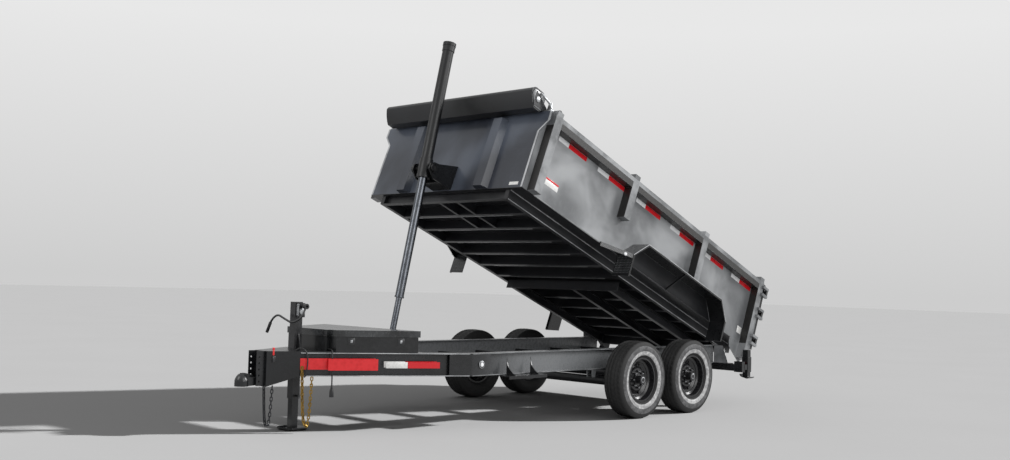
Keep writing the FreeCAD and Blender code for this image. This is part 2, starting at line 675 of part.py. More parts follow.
def make_stabilizer_leg():
    """Left drop leg with its hanging foot."""
    leg = square_tube(STAB_X, STAB_Y, STAB_LEG, 5.0, STAB_FOOT_Z, STAB_LEG_TOP)
    half_x, half_y = STAB_FOOT_HALF
    foot = plate_yz([(-half_y, 16), (-half_y + 22, 0), (half_y - 22, 0), (half_y, 16), (half_y, 26),
                     (half_y - 26, 10), (-half_y + 26, 10), (-half_y, 26)], -half_x, half_x)
    foot = turned(foot, -STAB_FOOT_TURN, Vec(0, 0, 0), Vec(1, 0, 0))
    return fuse([leg, moved(foot, STAB_X, STAB_Y, STAB_FOOT_Z - 4)])


BASE_EAR_GAP = EYE_W / 2 + 6
BASE_EAR_T = 14.0
BASE_TUBE_NEAR = 76.0
BASE_TUBE_W = 50.0
BASE_TUBE_H = 64.0


def make_cylinder_base():
    """Two cross tubes between the tongue beams that carry two ears, open below the eye."""
    low = RAIL_TOP - RAIL_H + FLANGE_T
    high = low + BASE_TUBE_H
    pieces = []
    for x0 in (BASE_X - BASE_TUBE_NEAR - BASE_TUBE_W, BASE_X + BASE_TUBE_NEAR):
        half = tongue_y(x0 + BASE_TUBE_W) - (FLANGE_W / 2 + WEB_T / 2) / COS_TONGUE
        pieces.append(box(x0, x0 + BASE_TUBE_W, -half, half, low, high))
    foot = BASE_TUBE_NEAR + BASE_TUBE_W
    for side in (1, -1):
        outline = [(BASE_X - foot, low), (BASE_X + foot, low), (BASE_X + foot, high), (BASE_X + 32, BASE_Z + 34),
                   (BASE_X - 32, BASE_Z + 34), (BASE_X - foot, high)]
        ear = plate_xz(outline, BASE_EAR_GAP, BASE_EAR_GAP + BASE_EAR_T)
        head = rod((BASE_X, BASE_EAR_GAP + BASE_EAR_T, BASE_Z), (BASE_X, BASE_EAR_GAP + BASE_EAR_T + 16, BASE_Z), 20)
        pieces += [ear, head] if side > 0 else [mirror_y(ear), mirror_y(head)]
    return fuse(pieces)


# Axles, springs and wheels

WHEEL_Y = OVER_TYRES / 2 - TYRE_W / 2
SPINDLE_END = WHEEL_Y + 60.0


def make_axle(x):
    """Drop axle: a round tube, its raised ends, brake drums' backing plates and spindles."""
    tube_z = TYRE_R - AXLE_DROP
    reach = WHEEL_Y - 150
    pieces = [rod((x, -reach, tube_z), (x, reach, tube_z), AXLE_TUBE_R)]
    for side in (1, -1):
        cheek = plate_xz([(x - 40, tube_z - 40), (x + 40, tube_z - 40), (x + 40, TYRE_R + 36), (x - 40, TYRE_R + 36)],
                         reach - 40, reach)
        backing = rod((x, reach, TYRE_R), (x, reach + 14, TYRE_R), BRAKE_DRUM_R - 8)
        spindle = rod((x, reach, TYRE_R), (x, SPINDLE_END, TYRE_R), SPINDLE_R)
        seat = box(x - 42, x + 42, SPRING_Y - SPRING_W / 2, SPRING_Y + SPRING_W / 2, tube_z + 20, EYE_Z - SPRING_T)
        for piece in (cheek, backing, spindle, seat):
            pieces.append(piece if side > 0 else mirror_y(piece))
    return fuse(pieces)


def make_axles():
    """Both axles."""
    return Part.makeCompound([make_axle(AXLE_SPACING / 2), make_axle(-AXLE_SPACING / 2)])


def leaf_spring(x):
    """Pack of leaves on the left side over one axle."""
    y0 = SPRING_Y - SPRING_W / 2
    span = SPRING_SPAN
    layers = [span, span * 0.72, span * 0.46]
    leaf_t = SPRING_T / 4
    pieces = []
    for index, half in enumerate(layers):
        z1 = EYE_Z - SPRING_T + leaf_t * (index + 1)
        half_len = layers[len(layers) - 1 - index]
        pieces.append(box(x - half_len, x + half_len, y0, y0 + SPRING_W, z1 - leaf_t, z1))
    top = EYE_Z - SPRING_T + leaf_t * 3
    for end in (1, -1):
        ramp = plate_xz([(x + end * (span - 60), top - leaf_t), (x + end * span, top - leaf_t + 10),
                         (x + end * span, top + 16), (x + end * (span - 60), top)], y0, y0 + SPRING_W)
        eye = rod((x + end * span, y0 - 4, EYE_Z), (x + end * span, y0 + SPRING_W + 4, EYE_Z), SPRING_EYE_R)
        pieces += [ramp, eye]
    return fuse(pieces)


def make_leaf_springs():
    """Four leaf packs and the two equalizers in the centre hangers."""
    solids = []
    for x in (AXLE_SPACING / 2, -AXLE_SPACING / 2):
        spring = leaf_spring(x)
        solids += [spring, mirror_y(spring)]
    reach = AXLE_SPACING / 2 - SPRING_SPAN - SPRING_EYE_R
    y0 = SPRING_Y - SPRING_W / 2 + 4
    bar = plate_xz([(-reach, EYE_Z - 12), (0, EYE_Z - 26), (reach, EYE_Z - 12), (reach, EYE_Z + 12),
                    (0, EYE_Z + 22), (-reach, EYE_Z + 12)], y0, y0 + SPRING_W - 8)
    boss = rod((0, SPRING_Y - SPRING_W / 2 - 4, EYE_Z), (0, SPRING_Y + SPRING_W / 2 + 4, EYE_Z), SPRING_EYE_R)
    bar = fuse([bar, boss])
    solids += [bar, mirror_y(bar)]
    return Part.makeCompound(solids)


def make_tyre(x, side):
    """Tyre with round shoulders and a hollow for the rim."""
    half = TYRE_W / 2
    tread_half = half - 24
    tread_r = TYRE_R - 5
    bead_half = RIM_W / 2 - RIM_FLANGE_T - 5
    flange_r = RIM_R + RIM_FLANGE_H
    bulge = TYRE_R - 78
    bead_r = RIM_R + SEAT_GAP
    edges = [
        Part.Arc(Vec(-tread_half, 0, tread_r), Vec(0, 0, TYRE_R), Vec(tread_half, 0, tread_r)).toShape(),
        Part.Arc(Vec(tread_half, 0, tread_r), Vec(half - 7, 0, tread_r - 20), Vec(half, 0, bulge)).toShape(),
        Part.Arc(Vec(half, 0, bulge), Vec(half - 6, 0, flange_r + 40), Vec(bead_half + 13, 0, flange_r + 4)).toShape(),
        Part.makeLine(Vec(bead_half + 13, 0, flange_r + 4), Vec(bead_half + 4, 0, flange_r + 1)),
        Part.makeLine(Vec(bead_half + 4, 0, flange_r + 1), Vec(bead_half, 0, bead_r)),
        Part.makeLine(Vec(bead_half, 0, bead_r), Vec(-bead_half, 0, bead_r)),
        Part.makeLine(Vec(-bead_half, 0, bead_r), Vec(-bead_half - 4, 0, flange_r + 1)),
        Part.makeLine(Vec(-bead_half - 4, 0, flange_r + 1), Vec(-bead_half - 13, 0, flange_r + 4)),
        Part.Arc(Vec(-bead_half - 13, 0, flange_r + 4), Vec(-half + 6, 0, flange_r + 40), Vec(-half, 0, bulge)).toShape(),
        Part.Arc(Vec(-half, 0, bulge), Vec(-half + 7, 0, tread_r - 20), Vec(-tread_half, 0, tread_r)).toShape()]
    section = Part.Face(Part.Wire(edges))
    ring = section.revolve(Vec(0, 0, 0), Vec(1, 0, 0), 360)
    ring = turned(ring, 90 if side > 0 else -90, Vec(0, 0, 0), Vec(0, 0, 1))
    return moved(ring, x, side * WHEEL_Y, TYRE_R)


def make_rim(x, side):
    """Deep steel rim: barrel, dished disc with windows, hub, cap and lug nuts."""
    half = RIM_W / 2
    gap = RIM_R
    disc_x = DISH_OFFSET
    flange = RIM_FLANGE_T
    lip_r = gap + RIM_FLANGE_H
    outline = [(-half, lip_r), (-half + flange, lip_r), (-half + flange + 4, gap), (-52, gap - 6), (-40, gap - 26),
               (18, gap - 26), (30, gap - 6), (half - flange - 4, gap), (half - flange, lip_r), (half, lip_r), (half, gap - 5),
               (34, gap - 12), (22, gap - 32), (-44, gap - 32), (-56, gap - 12), (-half, gap - 5)]
    barrel = face_of([(a, 0, r) for a, r in outline]).revolve(Vec(0, 0, 0), Vec(1, 0, 0), 360)
    disc_outline = [(disc_x + 4, gap - 31), (disc_x - 20, gap - 60), (disc_x - 8, 128), (disc_x + 14, 112),
                    (disc_x + 14, 40), (disc_x + 4, 40), (disc_x + 4, 106), (disc_x - 16, 122),
                    (disc_x - 30, gap - 58), (disc_x - 12, gap - 31)]
    disc = face_of([(a, 0, r) for a, r in disc_outline]).revolve(Vec(0, 0, 0), Vec(1, 0, 0), 360)
    cuts = []
    for index in range(RIM_WINDOW_COUNT):
        window = rod((disc_x - 50, 0, 148), (disc_x + 30, 0, 148), 17)
        cuts.append(turned(window, 360.0 / RIM_WINDOW_COUNT * (index + 0.5), Vec(0, 0, 0), Vec(1, 0, 0)))
    disc = disc.cut(cuts)
    hub_rear = -(WHEEL_Y - (WHEEL_Y - 150)) + 20
    drum = rod((hub_rear, 0, 0), (hub_rear + BRAKE_DRUM_W, 0, 0), BRAKE_DRUM_R)
    drum = drum.cut(rod((hub_rear, 0, 0), (hub_rear + BRAKE_DRUM_W - 12, 0, 0), BRAKE_DRUM_R - 9))
    hub = rod((hub_rear + BRAKE_DRUM_W - 12, 0, 0), (disc_x + 26, 0, 0), HUB_R)
    cap = rod((disc_x + 26, 0, 0), (disc_x + 26 + HUB_CAP_OUT, 0, 0), HUB_CAP_R)
    lugs = []
    for index in range(LUG_COUNT):
        lug = rod((disc_x + 10, 0, LUG_CIRCLE_R), (disc_x + 36, 0, LUG_CIRCLE_R), LUG_R)
        lugs.append(turned(lug, 360.0 / LUG_COUNT * index, Vec(0, 0, 0), Vec(1, 0, 0)))
    wheel = fuse([barrel, disc, drum, hub, cap] + lugs)
    wheel = wheel.cut(rod((hub_rear - 1, 0, 0), (60 + 4, 0, 0), SPINDLE_R + RUNNING_GAP))
    wheel = turned(wheel, 90 if side > 0 else -90, Vec(0, 0, 0), Vec(0, 0, 1))
    return moved(wheel, x, side * WHEEL_Y, TYRE_R)


# Chains, switch, cord and lamps

def chain_link(wire_r, length, width):
    """One link in the X-Z plane: a square bar round an eight-sided loop."""
    bar = wire_r * 0.9
    half_l = length / 2
    half_w = width / 2
    corner = half_w * 0.55
    outer = [(half_w, half_l - corner), (half_w - corner, half_l), (-half_w + corner, half_l), (-half_w, half_l - corner),
             (-half_w, -half_l + corner), (-half_w + corner, -half_l), (half_w - corner, -half_l), (half_w, -half_l + corner)]
    inner_w = half_w - 2 * bar
    inner_l = half_l - 2 * bar
    cut = inner_w * 0.55
    inner = [(inner_w, inner_l - cut), (inner_w - cut, inner_l), (-inner_w + cut, inner_l), (-inner_w, inner_l - cut),
             (-inner_w, -inner_l + cut), (-inner_w + cut, -inner_l), (inner_w - cut, -inner_l), (inner_w, -inner_l + cut)]
    return plate_xz(outer, -bar, bar).cut(plate_xz(inner, -bar - 1, bar + 1))


def hanging_chain(start, end, drop, count, wire_r, length, width):
    """Links along a hanging loop, each a quarter turn from the last."""
    begin = Vec(*start)
    finish = Vec(*end)
    link = chain_link(wire_r, length, width)

    def place(fraction):
        along = begin + (finish - begin) * fraction
        sag = drop * (1 - abs(2 * fraction - 1) ** 3.2)
        return Vec(along.x, along.y, along.z - sag)

    samples = [place(step / 400.0) for step in range(401)]
    total = sum((samples[i + 1] - samples[i]).Length for i in range(400))
    solids = []
    travelled = 0.0
    index = 0
    for step in range(400):
        run = (samples[step + 1] - samples[step]).Length
        target = total * (index + 0.5) / count
        if index < count and travelled + run >= target:
            centre = samples[step]
            heading = (samples[step + 1] - samples[step]).normalize()
            piece = turned(link, 90.0 * (index % 2) + 45.0, Vec(0, 0, 0), Vec(0, 0, 1))
            rotation = FreeCAD.Rotation(Vec(0, 0, 1), heading)
            placed = piece.transformGeometry(FreeCAD.Placement(centre, rotation).toMatrix())
            solids.append(placed)
            index += 1
        travelled += run
    print("chain pitch", round(total / count, 1), "links", len(solids),
          "end links' tops", [round(solids[i].optimalBoundingBox().ZMax, 1) for i in (0, -1)])
    return Part.makeCompound(solids)


GOLD_CHAIN = [(JACK_X + 90, tongue_y(JACK_X + 90) + 16, RAIL_TOP - 125),
              (JACK_X, tongue_y(JACK_X) - 10, RAIL_TOP - RAIL_H - 7), 450.0]
DARK_CHAIN = [(NOSE_FRONT_X - 16.7, 40, COUPLER_BOTTOM - 6), (NOSE_FRONT_X - 86.7, 60, COUPLER_BOTTOM - 1), 335.0]


def make_gold_chain():
    """Long plated safety chain, hung in a loop beside the jack."""
    return hanging_chain(GOLD_CHAIN[0], GOLD_CHAIN[1], GOLD_CHAIN[2], 34, 4.6, 40.0, 27.0)


def make_dark_chain():
    """Short safety chain under the nose."""
    return hanging_chain(DARK_CHAIN[0], DARK_CHAIN[1], DARK_CHAIN[2], 21, 4.2, 42.0, 26.0)


CORD_R = 6.0
# free trailer cord from the clamp on the nose plate down to its plug
CORD_ROUTE = [(3643, BOX_NARROW_Y, 712), (3643, 310, 712), (3660, 345, 704), (3668, 358, 664), (3668, 362, 606),
              (3667, 363, 548), (3667, 364, 490), (3668, 365, 432), (3668, 366, 400)]


def make_trailer_cord():
    """Cord tube along its route."""
    return pipe_path(CORD_ROUTE, CORD_R)


def make_cord_plug():
    """Round plug at the cord's end."""
    x, y, z = CORD_ROUTE[-1]
    return fuse([rod((x, y, z), (x, y, z - 26), 11), rod((x, y, z - 26), (x, y, z - 92), 19)])


def make_frame_lamps():
    """Side marker lamps on the rail corners and tail lamps on the rear tube."""
    x = RAIL_FRONT_X - BOX_PLATE_LEN / 2
    z = RAIL_TOP - RAIL_H / 2
    marker = rod((x, RAIL_OUT_Y, z), (x, RAIL_OUT_Y + 9, z), 32)
    y = TAIL_HALF + LAMP_BOX_W / 2
    tail = rod((TAIL_X - TAIL_D + 6, y, TAIL_Z0 + 92), (TAIL_X - TAIL_D - 2, y, TAIL_Z0 + 92), 14)
    return Part.makeCompound([marker, mirror_y(marker), tail, mirror_y(tail)])


# Bed, drawn flat in its own frame

SILL_STATIONS = []
station = FRAME_FRONT_U - SILL_PITCH
while station > FRAME_REAR_U + SILL_W:
    SILL_STATIONS.append(station)
    station -= SILL_PITCH


def channel_bar(u, y0, y1, depth, height):
    """Cross channel at a station, web to the front, flanges to the rear."""
    web = box(u - SILL_T, u, y0, y1, height - depth, height)
    foot = box(u - SILL_W, u, y0, y1, height - depth, height - depth + SILL_T)
    return fuse([web, foot, moved(foot, 0, 0, depth - SILL_T)])


def make_bed_frame():
    """Side rails, front rail, cross sills and the two short bars at the front."""
    inner_y = SIDE_RAIL_OUT_Y - SIDE_RAIL_W
    rail = box(FRAME_REAR_U, FRAME_FRONT_U, inner_y, SIDE_RAIL_OUT_Y, 0, SIDE_RAIL_H)
    pieces = [rail, mirror_y(rail)]
    front = channel_bar(0, -inner_y, inner_y, SILL_H, SILL_H)
    front = turned(front, 180, Vec(0, 0, 0), Vec(0, 0, 1))
    pieces.append(moved(front, FRAME_FRONT_U - SILL_W, 0, 0))
    for u in SILL_STATIONS:
        pieces.append(channel_bar(u, -inner_y, inner_y, SILL_H, SILL_H))
    for y in (-60.0, 190.0):
        pieces.append(box(SILL_STATIONS[1] - SILL_T, FRAME_FRONT_U - SILL_W, y, y + SILL_T, 0, SILL_H))
        pieces.append(box(SILL_STATIONS[1] - SILL_T, FRAME_FRONT_U - SILL_W, y, y + 34, 0, SILL_T))
    pieces.append(box(FRAME_REAR_U, FRAME_REAR_U + SILL_T, -inner_y, inner_y, 0, SILL_H))
    return fuse(pieces)


def make_lift_frame():
    """Deeper frame under the rear half: three bars, a front plate and the hinge bosses."""
    top = 0.0
    pieces = []
    for y in (LIFT_RAIL_Y, 200.0, -LIFT_RAIL_Y):
        half = LIFT_RAIL_W / 2
        rear = LIFT_REAR_U if abs(y) == LIFT_RAIL_Y else LIFT_REAR_U + 120
        web = box(rear, LIFT_FRONT_U, y - half, y - half + 6, -LIFT_DEPTH, top)
        foot = box(rear, LIFT_FRONT_U, y - half, y + half, -LIFT_DEPTH, -LIFT_DEPTH + 6)
        pieces += [web, foot, moved(foot, 0, 0, LIFT_DEPTH - 6)]
    reach = LIFT_RAIL_Y + LIFT_RAIL_W / 2
    pieces.append(box(LIFT_FRONT_U - 6, LIFT_FRONT_U, -LIFT_PLATE_Y, LIFT_PLATE_Y, -LIFT_DEPTH, top))
    pieces.append(box(LIFT_REAR_U + 120, LIFT_REAR_U + 126, -reach, reach, -LIFT_DEPTH, top))
    for y in (LIFT_RAIL_Y, -LIFT_RAIL_Y):
        half = LIFT_RAIL_W / 2
        cheek = plate_xz([(LIFT_REAR_U, top), (LIFT_REAR_U, PIVOT_V - 10), (PIVOT_U - 20, PIVOT_V - PIVOT_R - 16),
                          (PIVOT_U + 20, PIVOT_V - PIVOT_R - 16), (PIVOT_U + 120, -LIFT_DEPTH), (PIVOT_U + 120, top)],
                         y - half, y + half)
        pieces.append(cheek)
        outer = EAR_Y + EAR_T + 18
        pin = rod((PIVOT_U, abs(y), PIVOT_V), (PIVOT_U, outer, PIVOT_V), PIVOT_R)
        pieces.append(pin if y > 0 else mirror_y(pin))
    return fuse(pieces)


def make_bed_floor():
    """Floor plate, notched at its rear corners for the side skirts."""
    plate = box(FRAME_REAR_U, WALL_FRONT_U, -WALL_OUT_Y, WALL_OUT_Y, SILL_H, FLOOR_TOP)
    notch = box(FRAME_REAR_U - 1, SKIRT_FRONT_U, WALL_OUT_Y - WALL_T, WALL_OUT_Y + 1, SILL_H - 1, FLOOR_TOP + 1)
    return plate.cut(notch).cut(mirror_y(notch))


FLOOR_TOP = SILL_H + FLOOR_T
REAR_END_U = REAR_POST_U - POST_W
# front face of each post, its foot, in bed coordinates
POSTS = [(FRONT_POST_U, FLOOR_TOP), (2511.0, 455.0), (1116.0, FENDER_TOP + 1), (REAR_POST_U, REAR_POST_BOTTOM)]
# front face of each stake pocket
POCKETS = [FRONT_POST_U, 2511.0, 1116.0, REAR_POST_U]


def make_side_wall():
    """Left side: sheet, posts, top rail and stake pockets."""
    sheet = box(REAR_END_U, WALL_FRONT_U - WALL_T, WALL_OUT_Y - WALL_T, WALL_OUT_Y, FLOOR_TOP, WALL_TOP)
    rail = box(REAR_END_U, FRONT_POST_U, WALL_OUT_Y, POST_OUT_Y, WALL_TOP - TOP_RAIL_H, WALL_TOP)
    pieces = [sheet, rail]
    for u, foot in POSTS:
        pieces.append(box(u - POST_W, u, WALL_OUT_Y, POST_OUT_Y, foot, WALL_TOP))
    pieces.append(plate_xz([(REAR_END_U, FLOOR_TOP), (REAR_END_U, SKIRT_LOW_V), (SKIRT_KNEE[0], SKIRT_KNEE[1]),
                            (SKIRT_FRONT_U, SKIRT_KNEE[1] + 60), (SKIRT_FRONT_U, FLOOR_TOP)],
                           WALL_OUT_Y - WALL_T, WALL_OUT_Y))
    hinge_u = REAR_END_U - DOOR_GAP - DOOR_T
    for v in KNUCKLES:
        pieces.append(rod((hinge_u, HINGE_OUT_Y, v - 30), (hinge_u, HINGE_OUT_Y, v + KNUCKLE_H + 30), HINGE_PIN_R))
        for foot in (v - 30.3, v + KNUCKLE_H + 0.3):
            pieces.append(box(hinge_u - HINGE_R, REAR_END_U + 40, POST_OUT_Y, HINGE_OUT_Y + HINGE_R, foot, foot + 30))
    wall = fuse(pieces)
    pockets = []
    for u in POCKETS:
        centre = u - POST_W / 2
        outer = box(centre - POCKET_L / 2, centre + POCKET_L / 2, WALL_OUT_Y + 12, POST_OUT_Y, WALL_TOP, WALL_TOP + POCKET_H)
        inner = box(centre - POCKET_L / 2 + POCKET_WALL, centre + POCKET_L / 2 - POCKET_WALL,
                    WALL_OUT_Y + 12 + POCKET_WALL, POST_OUT_Y - POCKET_WALL, WALL_TOP, WALL_TOP + POCKET_H)
        pockets.append(outer.cut(inner))
    return fuse([wall] + pockets)


def make_front_wall():
    """Front sheet, wider at its top corners, with two folded upright ribs."""
    outline = [(-WALL_OUT_Y, FLOOR_TOP), (WALL_OUT_Y, FLOOR_TOP), (WALL_OUT_Y, FLARE_START), (POST_OUT_Y, FLARE_END),
               (POST_OUT_Y, WALL_TOP), (-POST_OUT_Y, WALL_TOP), (-POST_OUT_Y, FLARE_END), (-WALL_OUT_Y, FLARE_START)]
    pieces = [plate_yz(outline, WALL_FRONT_U - WALL_T, WALL_FRONT_U)]
    slope = 26.0
    for centre in (FRONT_RIB_Y, -FRONT_RIB_Y):
        half = FRONT_RIB_W / 2
        plan = [(WALL_FRONT_U, centre - half), (WALL_FRONT_U + FRONT_RIB_D, centre - half + slope),
                (WALL_FRONT_U + FRONT_RIB_D, centre + half - slope), (WALL_FRONT_U, centre + half)]
        pieces.append(plate_xy(plan, FLOOR_TOP + 4, WALL_TOP - 60))
    return fuse(pieces)


BRACKET_EAR_Y = COLLAR_R + 46
BRACKET_EAR_T = 16.0
BRACKET_TOP_V = 365.0
BRACKET_BOX_D = 170.0


def make_cylinder_bracket():
    """Box bracket on the front wall that holds the cylinder's trunnion between two ears."""
    low = FLOOR_TOP + 6
    ear_outline = [(WALL_FRONT_U, low), (WALL_FRONT_U, BRACKET_TOP_V), (TRUNNION_U - 50, TRUNNION_V + 65),
                   (TRUNNION_U + 10, TRUNNION_V + 56), (TRUNNION_U + 50, TRUNNION_V + 30),
                   (TRUNNION_U + 50, TRUNNION_V - 30), (TRUNNION_U + 10, TRUNNION_V - 62), (TRUNNION_U - 40, low)]
    pieces = []
    for side in (1, -1):
        ear = plate_xz(ear_outline, BRACKET_EAR_Y, BRACKET_EAR_Y + BRACKET_EAR_T)
        pad = rod((TRUNNION_U, BRACKET_EAR_Y + BRACKET_EAR_T, TRUNNION_V),
                  (TRUNNION_U, BRACKET_EAR_Y + BRACKET_EAR_T + 22, TRUNNION_V), 44)
        pieces += [ear, pad] if side > 0 else [mirror_y(ear), mirror_y(pad)]
    reach = BRACKET_EAR_Y + BRACKET_EAR_T
    front = WALL_FRONT_U + BRACKET_BOX_D
    slope = (BRACKET_TOP_V - TRUNNION_V - 65) / (TRUNNION_U - 50 - WALL_FRONT_U)
    front_v = BRACKET_TOP_V - slope * BRACKET_BOX_D
    shell = [(WALL_FRONT_U, low), (WALL_FRONT_U, BRACKET_TOP_V), (front, front_v), (front, low)]
    inside = [(WALL_FRONT_U + 8, low + 8), (WALL_FRONT_U + 8, BRACKET_TOP_V - 12), (front - 8, front_v - 6),
              (front - 8, low + 8)]
    pieces.append(plate_xz(shell, -reach, reach).cut(plate_xz(inside, -reach, reach)))
    bracket = fuse(pieces)
    bore = rod((TRUNNION_U, -200, TRUNNION_V), (TRUNNION_U, 200, TRUNNION_V), TRUNNION_R + RUNNING_GAP)
    return bracket.cut(bore)


TARP_HALF = 1050.0
TARP_LOW_V = WALL_TOP - 27.0
TARP_TOP_V = WALL_TOP + 170.0
TARP_BEHIND_BARREL = 21.0
TARP_NOSE = (TRUNNION_U - BARREL_R - TARP_BEHIND_BARREL, WALL_TOP + 118.0)


def make_tarp_housing():
    """Rolled tarp under its cover, which leans out over the front wall on two end arms."""
    back = WALL_FRONT_U + 10
    low_front = WALL_FRONT_U + 128
    low, top = TARP_LOW_V, TARP_TOP_V
    nose_u, nose_v = TARP_NOSE
    profile = Part.Wire([
        Part.makeLine(Vec(back, 0, low + 35), Vec(back + 35, 0, low)),
        Part.makeLine(Vec(back + 35, 0, low), Vec(low_front, 0, low)),
        Part.Arc(Vec(low_front, 0, low), Vec((low_front + nose_u) / 2 + 8, 0, (low + nose_v) / 2 - 5),
                 Vec(nose_u, 0, nose_v)).toShape(),
        Part.Arc(Vec(nose_u, 0, nose_v), Vec(nose_u - 18, 0, top - 14), Vec(nose_u - 66, 0, top)).toShape(),
        Part.makeLine(Vec(nose_u - 66, 0, top), Vec(back + 45, 0, top)),
        Part.makeLine(Vec(back + 45, 0, top), Vec(back, 0, top - 45)),
        Part.makeLine(Vec(back, 0, top - 45), Vec(back, 0, low + 35))])
    cover = moved(Part.Face(profile).extrude(Vec(0, 2 * TARP_HALF, 0)), 0, -TARP_HALF, 0)
    seat = box(WALL_FRONT_U - WALL_T, back, -TARP_HALF, TARP_HALF, WALL_TOP, WALL_TOP + 20)
    arms = []
    for side in (1, -1):
        arm = plate_xz([(WALL_FRONT_U - 70, WALL_TOP), (WALL_FRONT_U - 70, WALL_TOP + 30), (nose_u - 60, top - 30),
                        (low_front + 20, low + 30), (WALL_FRONT_U + 2, WALL_TOP)], TARP_HALF, TARP_HALF + 8)
        arms.append(arm if side > 0 else mirror_y(arm))
    return fuse([cover, seat] + arms)


def fender_outline(inset):
    """Side view of the fender, moved inwards by the plate's thickness."""
    return [(FENDER_FRONT_U - inset, FENDER_BOTTOM), (FENDER_FRONT_U - inset, FENDER_TOP - FENDER_CORNER_V),
            (FENDER_FRONT_U - FENDER_CORNER_U - inset / 2, FENDER_TOP - inset),
            (FENDER_REAR_U + FENDER_REAR_CORNER_U + inset / 2, FENDER_TOP - inset),
            (FENDER_REAR_U + inset, FENDER_TOP - FENDER_CORNER_V), (FENDER_REAR_U + inset, FENDER_BOTTOM)]


def make_fender():
    """Left fender: bent plate, lip on its outer edge, front step and middle brace."""
    sheet = plate_xz(fender_outline(0), WALL_OUT_Y, FENDER_OUT_Y)
    sheet = sheet.cut(plate_xz([(p[0], p[1] - (1 if p[1] == FENDER_BOTTOM else 0)) for p in fender_outline(FENDER_T)],
                               WALL_OUT_Y - 1, FENDER_OUT_Y + 1))
    lip = plate_xz(fender_outline(0), FENDER_OUT_Y - 6, FENDER_OUT_Y)
    lip = lip.cut(plate_xz([(p[0], p[1] - (1 if p[1] == FENDER_BOTTOM else 0)) for p in fender_outline(FENDER_LIP)],
                           FENDER_OUT_Y - 7, FENDER_OUT_Y + 1))
    step_v = FENDER_TOP - FENDER_CORNER_V
    step = plate_xy([(FENDER_FRONT_U, WALL_OUT_Y), (STEP_TIP_U, WALL_OUT_Y), (STEP_TIP_U, WALL_OUT_Y + 20),
                     (FENDER_FRONT_U + 10, FENDER_OUT_Y), (FENDER_FRONT_U, FENDER_OUT_Y)], step_v - 5, step_v)
    edge = plate_xy([(STEP_TIP_U, WALL_OUT_Y + 20), (FENDER_FRONT_U + 10, FENDER_OUT_Y),
                     (FENDER_FRONT_U, FENDER_OUT_Y - 2), (STEP_TIP_U - 8, WALL_OUT_Y + 16)], step_v - STEP_EDGE, step_v)
    brace_u = 1423.0
    brace = face_of([(brace_u, WALL_OUT_Y, SILL_H + 6), (brace_u, WALL_OUT_Y, SILL_H + 32),
                     (brace_u, FENDER_OUT_Y - 3, FENDER_TOP - 8),
                     (brace_u, FENDER_OUT_Y - 3, FENDER_TOP - 34)]).extrude(Vec(6, 0, 0))
    return fuse([sheet, lip, step, edge, brace])


# Doors

DOOR_FRONT_U = REAR_END_U - DOOR_GAP
DOOR_REAR_U = DOOR_FRONT_U - DOOR_T
HINGE_U = DOOR_REAR_U
DOOR_RIBS = 3


def make_door():
    """Left barn door: skin, frame, ribs and hinge knuckles."""
    y0 = 3.0
    y1 = POST_OUT_Y - 14
    skin = box(DOOR_FRONT_U - DOOR_SKIN, DOOR_FRONT_U, y0, y1, DOOR_BOTTOM, DOOR_TOP)
    pieces = [skin]
    tube = 50.0
    rear = DOOR_REAR_U
    for z0, z1 in ((DOOR_BOTTOM, DOOR_BOTTOM + tube), (DOOR_TOP - tube, DOOR_TOP)):
        pieces.append(box(rear, DOOR_FRONT_U, y0, y1, z0, z1))
    for ya in (y0, y1 - tube):
        pieces.append(box(rear, DOOR_FRONT_U, ya, ya + tube, DOOR_BOTTOM, DOOR_TOP))
    for index in range(DOOR_RIBS):
        centre = y0 + (y1 - y0) * (index + 1) / (DOOR_RIBS + 1)
        pieces.append(box(rear + 16, DOOR_FRONT_U, centre - 20, centre + 20, DOOR_BOTTOM, DOOR_TOP))
    for v in KNUCKLES:
        pieces.append(rod((HINGE_U, HINGE_OUT_Y, v), (HINGE_U, HINGE_OUT_Y, v + KNUCKLE_H), HINGE_R))
        pieces.append(box(HINGE_U, HINGE_U + 10, y1 - 5, HINGE_OUT_Y, v, v + KNUCKLE_H))
    pin = rod((HINGE_U, HINGE_OUT_Y, 0), (HINGE_U, HINGE_OUT_Y, WALL_TOP), HINGE_PIN_R + RUNNING_GAP)
    return fuse(pieces).cut(pin)


# Cylinder, drawn upright below and above its trunnion, then leaned into place

TRUNNION = bed_point(TRUNNION_U, 0, TRUNNION_V)
LEAN = math.degrees(math.atan2(BASE_X - TRUNNION.x, TRUNNION.z - BASE_Z))
REACH = math.hypot(BASE_X - TRUNNION.x, TRUNNION.z - BASE_Z)


def lean(shape):
    """Set a piece drawn with the trunnion at the origin along the cylinder's line."""
    tilted = turned(shape, -LEAN, Vec(0, 0, 0), Vec(0, 1, 0))
    return moved(tilted, TRUNNION.x, 0, TRUNNION.z)


def make_barrel():
    """Outer tube with its cap, collar and trunnion pins."""
    tube = rod((0, 0, -COLLAR_HALF), (0, 0, BARREL_TOP - 30), BARREL_R, BARREL_BORE)
    cap = rod((0, 0, BARREL_TOP - 34), (0, 0, BARREL_TOP), BARREL_R + 9)
    neck = rod((0, 0, BARREL_TOP - 90), (0, 0, BARREL_TOP - 34), BARREL_R + 5, BARREL_BORE)
    collar = rod((0, 0, -COLLAR_HALF), (0, 0, COLLAR_HALF), COLLAR_R, BARREL_BORE)
    gland = rod((0, 0, -COLLAR_HALF), (0, 0, -COLLAR_HALF + 24), BARREL_BORE, STAGE1_R + RUNNING_GAP)
    pieces = [tube, neck, collar, gland, cap]
    reach = BRACKET_EAR_Y + BRACKET_EAR_T + 16
    pin = rod((0, COLLAR_R - 6, 0), (0, reach, 0), TRUNNION_R)
    pieces += [pin, mirror_y(pin)]
    return fuse(pieces)


